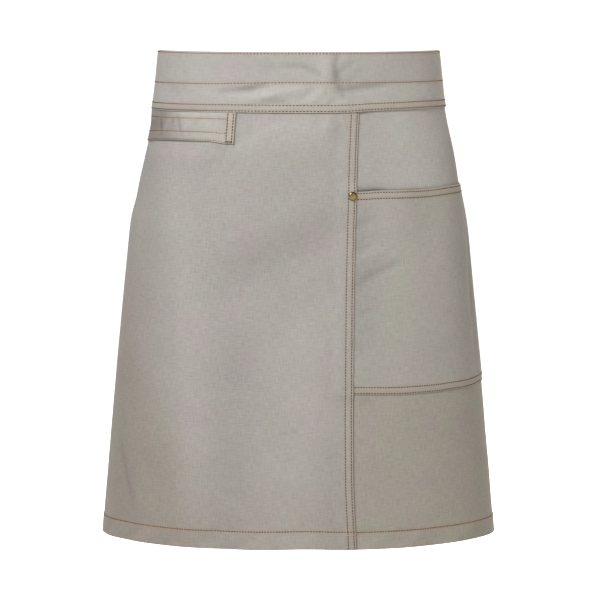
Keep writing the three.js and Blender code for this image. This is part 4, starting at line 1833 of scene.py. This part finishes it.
@dataclass
class TowelStrap(ClothPiece):
    """The strap on the hip, sewn down at both ends. v runs across its width."""

    piece: str = "towel_strap_cloth"
    node: str = "towel_loop"
    slot: str = "strap_twill"
    finish: TwillFinish = TwillFinish("strap_cotton_twill", "#c1bdb8", "#a7a29c")
    flat: tuple[float, float] = (0.19, 0.032)
    held: Held = Held.STRETCHED
    rests_on: str = "front_panel"
    step: float = 1.5
    rear: float = -238.0
    edge_dark: float = 0.15
    thick: float = 1.0
    # how far the strap lies below the band
    clear: float = 0.15
    # how far it stands off, the share of that at its lower edge, and between which places
    stand: float = 4.8
    low_share: float = 0.12
    stand_from: float = -75.5
    stand_to: float = -185.0
    # its rows of stitches, and the bars across its front end
    row_drops: tuple[float, float, float] = (6.7, 21.8, 30.6)
    row_depth: float = 0.1
    row_stop: float = 0.4
    end_glow: float = 0.85
    end_strip_glow: float = 0.8
    bar_insets: tuple[float, float] = (1.2, 2.6)
    bar_pitch: float = 1.5
    # where the strap takes painted shade towards the hip, where that ends behind, and how dark and
    # brown it is
    hip_from: tuple[float, float] = (115.0, 160.0)
    hip_end: tuple[float, float] = (190.0, 238.0)
    hip_dark: float = -0.4
    hip_dusk: float = 0.6
    # painted light: how much paler both edges are, and over which part of the width
    top_pale: float = 0.13
    top_pale_to: tuple[float, float] = (1.0, 8.0)
    low_pale: float = 0.06
    low_pale_from: tuple[float, float] = (18.0, 24.0)
    under_band: PaintedShadowLine = PaintedShadowLine(0.05, 0.6)
    # along, and the share of its full width that the strap keeps there
    WIDTHS = (
        (-190, 1.0), (-165, 0.93), (-135, 0.9), (-108, 0.9), (-85, 0.92), (-76, 0.965), (-66, 0.98),
    )
    # creases towards the hip, in the strap's own two directions; their tone is painted light, or
    # painted shade below 0
    CREASES = (
        Crease(-153, -4, -152, 26, 2.0, -1.0, -0.16),
        Crease(-158.5, -4, -158, 34, 1.7, 0.4, 0.09),
        Crease(-144, -3, -142, 12, 2.4, -0.7, -0.13),
        Crease(-138, -3, -137, 7, 1.8, -0.4, -0.12),
        Crease(-147, 27, -137, 5, 3.0, 0.8, 0.12),
        Crease(-133, 5, -132, 19, 1.8, -0.5, -0.1),
        Crease(-127, 0, -121, 27, 2.0, -1.0, -0.18),
        Crease(-118, 26, -112, 4, 3.6, 0.6, 0.06),
        Crease(-117, 2, -114, 15, 3.0, -0.5, -0.04),
        Crease(-99, 6, -84, 22, 7.0, 0.5, 0.04),
    )

    def __post_init__(self) -> None:
        """Make the width's curve, and place the rows."""
        self.width_share = SmoothTable(self.WIDTHS)
        super().__post_init__()

    def rows(self) -> tuple[Seam, ...]:
        """Three rows along the strap, two down each end, and bars that lock the front end.

        Returns:
            The seams.
        """
        p = self.pattern
        front = places_beside(p.strap_front, p.row_insets)
        rear = places_beside(self.rear, p.row_insets, 1.0)
        start, stop = self.rear + p.row_clear, front[1] - self.row_stop
        top, foot = p.row_close, p.strap_width - p.row_close
        glows = {"glow": self.end_glow, "strip_glow": self.end_strip_glow}
        along = (
            Seam(Run.ROUND, (drop,), start, stop, stitch=THIN_STITCH, depth=self.row_depth)
            for drop in self.row_drops
        )
        bars = (
            Seam(Run.ROUND, (place,), front[1], front[0], pitch=self.bar_pitch)
            for place in places_beside(p.strap_width, self.bar_insets)
        )
        down = (
            Seam(Run.DOWN, places, top, foot, stitch=HEAVY_STITCH, **glows)
            for places in (front, rear)
        )
        return (*along, *down, *bars)

    def extent(self) -> tuple[float, float, float, float]:
        """From the rear end to the front end, and across the width."""
        return self.rear, self.pattern.strap_front, 0.0, self.pattern.strap_width

    def corner(self, u: Array, v: Array, skin: int) -> Places:
        """The strap's places, standing off between its ends.

        Args:
            u: places in the piece's first direction.
            v: places in its second direction.
            skin: 1 for the outer skin, or 0 for the inner one.

        Returns:
            Along, drop and out.
        """
        p = self.pattern
        slack = 1.0 - (1.0 - self.low_share) * (v / p.strap_width) ** 2
        stand = p.layer + self.stand * swell(self.stand_from, self.stand_to, u) * slack
        stand = stand + sum(c.height * c.profile(u, v) for c in self.CREASES)
        drop = self.panels.band_low(u) + self.clear + v * self.width_share(u)
        along = u - p.strap_lean * v / p.strap_width
        return along, drop, stand + skin * (self.thick + self.relief(u, v, 1))

    def shade(self, u: Array, v: Array, skin: int) -> Array:
        """A painted shadow line under the waistband."""
        return skin * self.under_band.past(v)

    def hip(self, u: Array) -> Array:
        """1 where the strap turns to the hip and takes painted shade, and 0 at both ends."""
        return smoothstep(*self.hip_from, -u) * (1.0 - smoothstep(*self.hip_end, -u))

    def dusk_shade(self, u: Array, v: Array) -> Array:
        """Painted shade, browner, towards the hip."""
        return self.hip_dusk * self.hip(u)

    def tone(self, u: Array, v: Array) -> Array:
        """Painted light and shade: the creases' tone, the pale edges and the darkening towards the hip.

        Args:
            u: places in the piece's first direction.
            v: places in its second direction.

        Returns:
            Shares of tone, above 0 where it is paler.
        """
        edges = self.top_pale * (1.0 - smoothstep(*self.top_pale_to, v))
        edges = edges + self.low_pale * smoothstep(*self.low_pale_from, v)
        creases = sum(c.tone * c.profile(u, v) for c in self.CREASES)
        return self.hip_dark * self.hip(u) + edges + creases


@dataclass
class BackTape(ClothPiece):
    """The plain tape that closes the waist behind. u runs round the back from inside one band end."""

    piece: str = "back_tape"
    node: str = "back_tie"
    slot: str = "tie_tape"
    finish: TwillFinish = TwillFinish("cotton_twill_tape", "#b1aba4", "#a39c94", twill_mm=2.2)
    flat: tuple[float, float] = (0.16, 0.025)
    held: Held = Held.STRETCHED
    rests_on: str = "waistband"
    step: float = 2.5
    top: float = 3.0
    low: float = 28.0
    in_band: float = 28.0

    def extent(self) -> tuple[float, float, float, float]:
        """From inside one end of the band to inside the other, and across the width.

        Returns:
            The first and last u, and the first and last v.
        """
        start = self.pattern.back_edge - self.in_band
        half = float(self.form.half_round(0.0))
        return start, 2.0 * half - start, self.top, self.low

    def corner(self, u: Array, v: Array, skin: int) -> Places:
        """The tape's places. Past the middle they are measured back from the other end.

        Args:
            u: places in the piece's first direction.
            v: places in its second direction.
            skin: 1 for the outer skin, or 0 for the inner one.

        Returns:
            Along, drop and out.
        """
        half = float(self.form.half_round(0.0))
        round_here = 2.0 * self.form.half_round(v)
        along = np.where(u < half, u, round_here - (2.0 * half - u))
        return along, v, np.full_like(u, self.pattern.cloth * skin)


@dataclass
class DomedRivet:
    """The brass rivet at the pocket's corner: cap, post and back washer in one turned body."""

    pattern: Pattern
    form: WornForm
    panels: Panels
    finish: BrassFinish = BrassFinish("antique_brass", "#8a7642", "#43341b")
    # how far it lies from the seam's edge, and below the top
    setback: float = 4.3
    drop: float = 145.0
    cap_radius: float = 4.4
    cap_rise: float = 2.2
    post_radius: float = 1.5
    washer_radius: float = 3.6
    washer_thick: float = 1.2
    washer_rim: float = 0.25
    clear: float = 0.5
    tip: float = 0.03
    washer_patina: tuple[float, float] = (0.6, 0.7)
    hidden_patina: float = 1.0
    sides: int = 48
    # shares of the cap's radius and rise, and the patina there; the bright ring of least patina at the
    # shoulder is a painted highlight where the rim catches light
    DOME = (
        (1.0, 0.0, 0.9),
        (1.03, 0.1, 0.6),
        (1.03, 0.22, 0.3),
        (0.99, 0.36, 0.05),
        (0.93, 0.46, 0.5),
        (0.88, 0.52, 0.5),
        (0.78, 0.68, 0.35),
        (0.62, 0.83, 0.25),
        (0.42, 0.94, 0.2),
        (0.2, 0.99, 0.2),
        (0.03, 1.0, 0.2),
    )

    def build(self) -> bpy.types.Object:
        """Turn the profile round the cloth's outward direction.

        Returns:
            The rivet's object.
        """
        along = self.pattern.seam - self.setback
        seat = self.form.place(along, self.drop, 0.0)
        out = unit(self.form.place(along, self.drop, 1.0) - seat)
        foot = float(self.panels.lap_lift(along, self.drop)) + self.pattern.cloth + self.clear
        top, under = -self.clear, -self.clear - self.washer_thick
        flat, rim = self.washer_patina
        # radius, height and patina, from the washer's middle to the crown
        profile = [
            (self.tip, under, flat),
            (self.washer_radius - self.washer_rim, under, flat),
            (self.washer_radius, under + self.washer_rim, rim),
            (self.washer_radius, top, self.hidden_patina),
            (self.post_radius, top, self.hidden_patina),
            (self.post_radius, foot, self.hidden_patina),
        ]
        for r, h, patina in self.DOME:
            profile.append((self.cap_radius * r, foot + self.cap_rise * h, patina))
        aside = unit(np.cross(out, np.array([0.0, 0.0, 1.0])))
        upright = np.cross(aside, out)
        angle = np.linspace(0.0, 2.0 * math.pi, self.sides, endpoint=False)
        spoke = np.cos(angle)[:, None] * aside + np.sin(angle)[:, None] * upright
        radius, height, patina = np.array(profile).T
        points = seat + height[:, None, None] * out + radius[:, None, None] * spoke
        number = np.arange(points.shape[0] * self.sides).reshape(-1, self.sides)
        after = np.roll(number, -1, axis=1)
        around = np.stack([number[:-1], number[1:], after[1:], after[:-1]], -1)
        faces = around.reshape(-1, 4).tolist()
        faces += [number[0].tolist(), number[-1, ::-1].tolist()]
        shade = np.repeat(patina, self.sides)
        self.object = mesh_object("rivet_brass", points.reshape(-1, 3), faces, {"shade": shade})
        return self.object

    def dress(self) -> None:
        """Give the rivet its metal and tie it to the frame."""
        self.object.data.materials.append(self.finish.material())
        tie(self.object, "rivet")


@dataclass(frozen=True)
class PhotoCamera:
    """The camera, level with the waistband's top and far away."""

    aim: tuple[float, float, float] = (1.8, -118.0, -221.1)
    distance: float = 3600.0
    focal_pixels: float = 3572.0
    image_pixels: float = 600.0
    # how far above the aim, in the image, a level line from the camera lies
    rise_pixels: float = 250.0
    sensor: float = 36.0
    far: float = 100.0

    @property
    def tilt(self) -> float:
        """How far down the camera looks, in radians."""
        return math.atan(self.rise_pixels / self.focal_pixels)

    def build(self) -> bpy.types.Object:
        """Place the camera and make it the scene's.

        Returns:
            The camera's object.
        """
        data = bpy.data.cameras.new("photo_camera")
        data.sensor_width = self.sensor
        data.lens = self.focal_pixels / self.image_pixels * self.sensor
        data.clip_end = self.far
        made = link("photo_camera", data)
        back = Vector((0.0, -math.cos(self.tilt), math.sin(self.tilt)))
        made.location = (Vector(self.aim) + back * self.distance) * MM
        made.rotation_euler = (-back).to_track_quat("-Z", "Y").to_euler()
        bpy.context.scene.camera = made
        return made


@dataclass(frozen=True)
class Softbox:
    """One large soft lamp, in metres and watts."""

    name: str
    place: tuple[float, float, float]
    aim: tuple[float, float, float]
    side: float
    power: float
    colour: str = WHITE

    def build(self) -> None:
        """Hang the lamp and point it."""
        data = bpy.data.lights.new(self.name, "AREA")
        data.shape = "SQUARE"
        data.size = self.side
        data.energy = self.power
        data.color = linear(self.colour)[:3]
        made = link(self.name, data)
        made.location = self.place
        toward = Vector(self.aim) - Vector(self.place)
        made.rotation_euler = toward.to_track_quat("-Z", "Y").to_euler()


@dataclass(frozen=True)
class Studio:
    """A plain white studio: a pale floor, a soft surround and softboxes."""

    floor_z: float = -0.62
    floor_side: float = 60.0
    floor_colour: str = "#f4f4f3"
    floor_roughness: float = 0.9
    floor_glow: float = 1.0
    surround: float = 0.24
    surround_colour: str = "#fff8f0"
    horizon: float = 1.3
    # how far above and below the horizon the white ends, as a share of the way to straight up
    horizon_edge: tuple[float, float] = (0.05, 0.16)
    lamps: tuple[Softbox, ...] = (
        Softbox("key_softbox", (-0.9, -1.95, 1.75), (0.0, -0.1, -0.15), 0.7, 59.5, "#f8fcff"),
        Softbox("fill_softbox", (1.7, -2.0, 0.5), (0.1, -0.1, -0.2), 1.5, 11.5, "#fcfcf0"),
        Softbox("rear_softbox", (0.8, 2.3, 1.2), (0.0, 0.0, -0.2), 1.6, 38.0, "#fff9f2"),
    )

    def build(self) -> None:
        """Lay the floor, light the surround and hang the lamps."""
        self._lay_floor()
        self._light_surround()
        for lamp in self.lamps:
            lamp.build()
        settings = bpy.context.scene.view_settings
        settings.view_transform = "Standard"
        settings.look = "None"

    def _lay_floor(self) -> None:
        """Lay a wide pale floor under the apron."""
        half = self.floor_side / 2.0 / MM
        corners = np.array([(-half, -half, 0), (half, -half, 0), (half, half, 0), (-half, half, 0)])
        corners[:, 2] = self.floor_z / MM
        floor = mesh_object("floor", corners, [[0, 1, 2, 3]], {})
        material, tree = new_material("white_painted_floor")
        look = {
            "Base Color": linear(self.floor_colour),
            "Roughness": self.floor_roughness,
            "Emission Color": linear(WHITE),
            "Emission Strength": self.floor_glow,
        }
        shader = add_node(tree, "BsdfPrincipled", "BSDF", look)
        add_node(tree, "OutputMaterial", None, {"Surface": shader})
        floor.data.materials.append(material)
        floor.visible_diffuse = False

    def _light_surround(self) -> None:
        """Light the surround: white at the horizon and softer above and below it."""
        world = bpy.data.worlds.new("soft_surround")
        world.use_nodes = True
        bpy.context.scene.world = world
        tree = world.node_tree
        tree.nodes.clear()
        way = add_node(tree, "TexCoord", "Generated")
        height = add_node(tree, "SeparateXYZ", "Z", {0: way})
        level = add_node(tree, "Math", 0, {0: height}, operation="ABSOLUTE")
        near, far = self.horizon_edge
        fade = {"Value": level, "From Min": near, "From Max": far}
        fade |= {"To Min": self.horizon, "To Max": self.surround}
        strength = add_node(tree, "MapRange", 0, fade, interpolation_type="SMOOTHSTEP")
        glow = {"Color": linear(self.surround_colour), "Strength": strength}
        light = add_node(tree, "Background", "Background", glow)
        add_node(tree, "OutputWorld", None, {"Surface": light})


def main() -> None:
    """Build and dress every piece, then light it."""
    logging.basicConfig(level=logging.INFO, format="%(name)s: %(message)s")
    pattern = Pattern()
    form = WornForm(pattern)
    panels = Panels(pattern)
    PhotoCamera().build()
    Studio().build()
    threads = [tone.value.material() for tone in ThreadTone]
    kinds = (FrontPanel, SidePanel, PatchPocket, Waistband, TowelStrap, BackTape)
    pieces: list[ClothPiece] = [kind(pattern, form, panels) for kind in kinds]
    for seed, piece in enumerate(pieces):
        piece.build()
        if piece.seams:
            piece.sew(seed)
        piece.dress(threads)
        log.info("%s: %d faces", piece.piece, len(piece.object.data.polygons))
    rivet = DomedRivet(pattern, form, panels)
    rivet.build()
    rivet.dress()
    log.info("rivet: %d faces", len(rivet.object.data.polygons))
    for piece in pieces:
        piece.declare()


if __name__ == "__main__":
    main()
